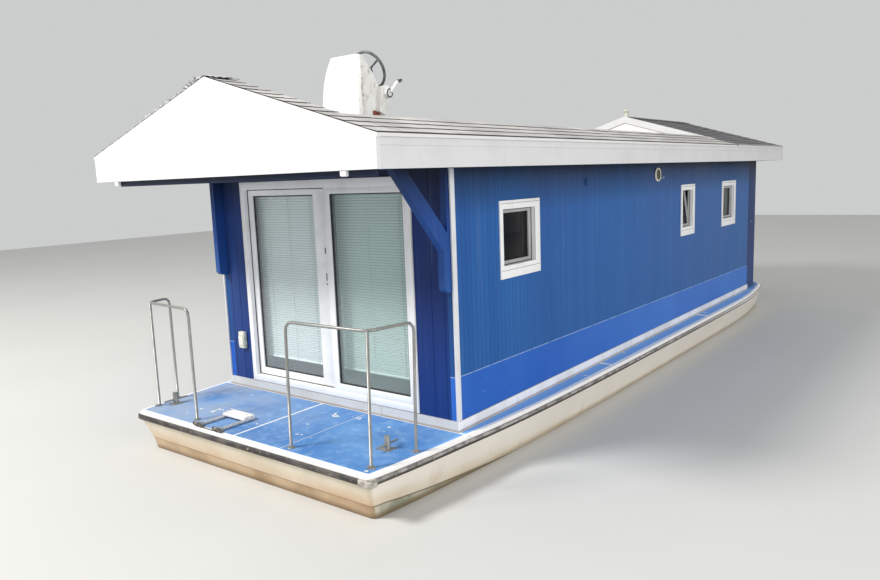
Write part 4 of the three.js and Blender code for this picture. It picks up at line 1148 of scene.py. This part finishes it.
# Handrails: bent stainless tube on round screwed flanges, dulled by weather.
steel = Finish("stainless_tube")
brushed = steel.noise(70.0, 4.0, (1.0, 1.0, 0.2))
tarnish = steel.noise(7.0, 6.0).fade(0.5, 0.75) * 0.6
steel_finish = steel.surface(
    Base_Color=steel.layers(
        (158, 158, 155), (brushed.fade(0.3, 0.8), (132, 131, 127)), (tarnish, (108, 102, 94))),
    Metallic=0.45 - 0.3 * tarnish, Roughness=brushed * 0.25 + 0.28)
PLATE_TOP = 0.008
for hand, side, feet in (("port", 1, ((0.555, -0.99), (1.375, -0.97), (1.458, -0.532))),
                         ("starboard", -1, ((0.724, -0.965), (1.425, -0.917), (1.5, -0.65)))):
    tube = softened(f"handrail_{hand}", f"handrail_tube_{hand}", 0.0, 0.9)
    collars = [turned("collar", ((0, 0.017), (0.004, 0.0175), (0.012, 0.015), (0.013, 0.013)),
                      (side * x, y, PLATE_TOP)) for x, y in feet]
    heads = [screws("heads", [(side * x + 0.024 * math.cos(turn), y + 0.024 * math.sin(turn),
                               PLATE_TOP) for turn in (0.5, 2.6, 4.7)], (0, 0, 1), 0.0045)
             for x, y in feet]
    rail = merged(f"handrail_tube_{hand}", tube, *collars, *heads)
    fitted(rail, steel_finish, "steel", f"handrail_{hand}")

# Bollards: welded steel posts with a cross bar on screwed base plates.
for hand, x, y in (("bow_port", 1.235, -0.61), ("bow_starboard", -1.35, -0.77),
                   ("stern_port", 1.24, 9.13), ("stern_starboard", -1.24, 9.13)):
    post = softened(f"bollard_{hand}", f"bollard_post_{hand}", 0.0015, 0.7)
    heads = screws("heads", [(x + across, y + along, PLATE_TOP) for across in (-0.038, 0.038)
                             for along in (-0.038, 0.038)], (0, 0, 1), 0.005)
    fitted(merged(f"bollard_post_{hand}", post, heads),
           steel_finish, "steel", f"bollard_{hand}")

# Ladder: two galvanised tubes hinged in dark lugs at the rim, folded back onto the deck, with a
# ribbed white plastic tread across their ends.
galvanised_finish = two_tone(
    "galvanised_tube", (204, 207, 209), (160, 164, 168), patch=(55.0, 4.0), spread=(0.35, 0.7),
    rough=(0.3, 0.35), Metallic=0.15)
arms = softened("boarding_ladder", "ladder_arms", 0.0, 0.8)
fitted(arms, galvanised_finish, "steel", "boarding_ladder", body="ladder")
lug_finish = two_tone(
    "lug_metal", (98, 92, 86), (142, 132, 120), patch=(40.0, 5.0), spread=(0.4, 0.7),
    rough=(0.3, 0.4), Metallic=0.2)
lugs = softened("ladder_seat", "ladder_lugs", 0.001, 0.7)
fitted(lugs, lug_finish, "steel", "ladder_seat")
tread = block("tread", (-0.5625, -0.81, 0.0255), (-0.2605, -0.693, 0.0515), 0.004)
rib = block("rib", (-0.556, -0.804, 0.051), (-0.267, -0.799, 0.053), 0.0007)
ribs = repeated(rib, [(0, 0.0175 * step, 0) for step in range(1, 7)])
tread_finish = two_tone(
    "tread_plastic", (240, 237, 234), (178, 172, 162), patch=(16.0, 6.0), spread=(0.5, 0.75),
    rough=0.5, grain=((120.0, 2.0), 0.0004, 0.4))
fitted(merged("ladder_tread", tread, ribs), tread_finish, "pvc", body="ladder")

# Outboard motor: a dark painted cowl, swivel and leg clamped to a timber pad, with a bare
# alloy propeller.
motor_finish = two_tone(
    "motor_paint", (38, 41, 46), (66, 70, 74), patch=(6.0, 5.0), spread=(0.4, 0.8),
    rough=0.38, Coat_Weight=0.3)
for node, body, edge in (("motor_clamp", "boat", 0.002), ("motor_swivel", "swivel", 0.002),
                         ("motor_leg", "motor", 0.002), ("motor_cowl", "motor", 0.006)):
    casting = softened(node, f"{node}_casting", edge, 0.8)
    fitted(casting, motor_finish, "motor_paint", node, body=body)
alloy_finish = two_tone(
    "propeller_alloy", (150, 152, 156), (110, 112, 116), patch=(30.0, 4.0), rough=(0.2, 0.25),
    Metallic=0.9)
blades = softened("propeller", "propeller_blades", 0.0, 0.9)
fitted(blades, alloy_finish, "prop_alloy", "propeller", body="screw")
timber_grain = (12.0, 6.0, (0.15, 1.0, 1.0))
dress(two_tone(
    "pad_timber", (128, 110, 88), (84, 68, 52), patch=timber_grain, spread=(0.3, 0.7), rough=0.8,
    grain=(timber_grain, 0.003, 0.6)), "motor_pad")
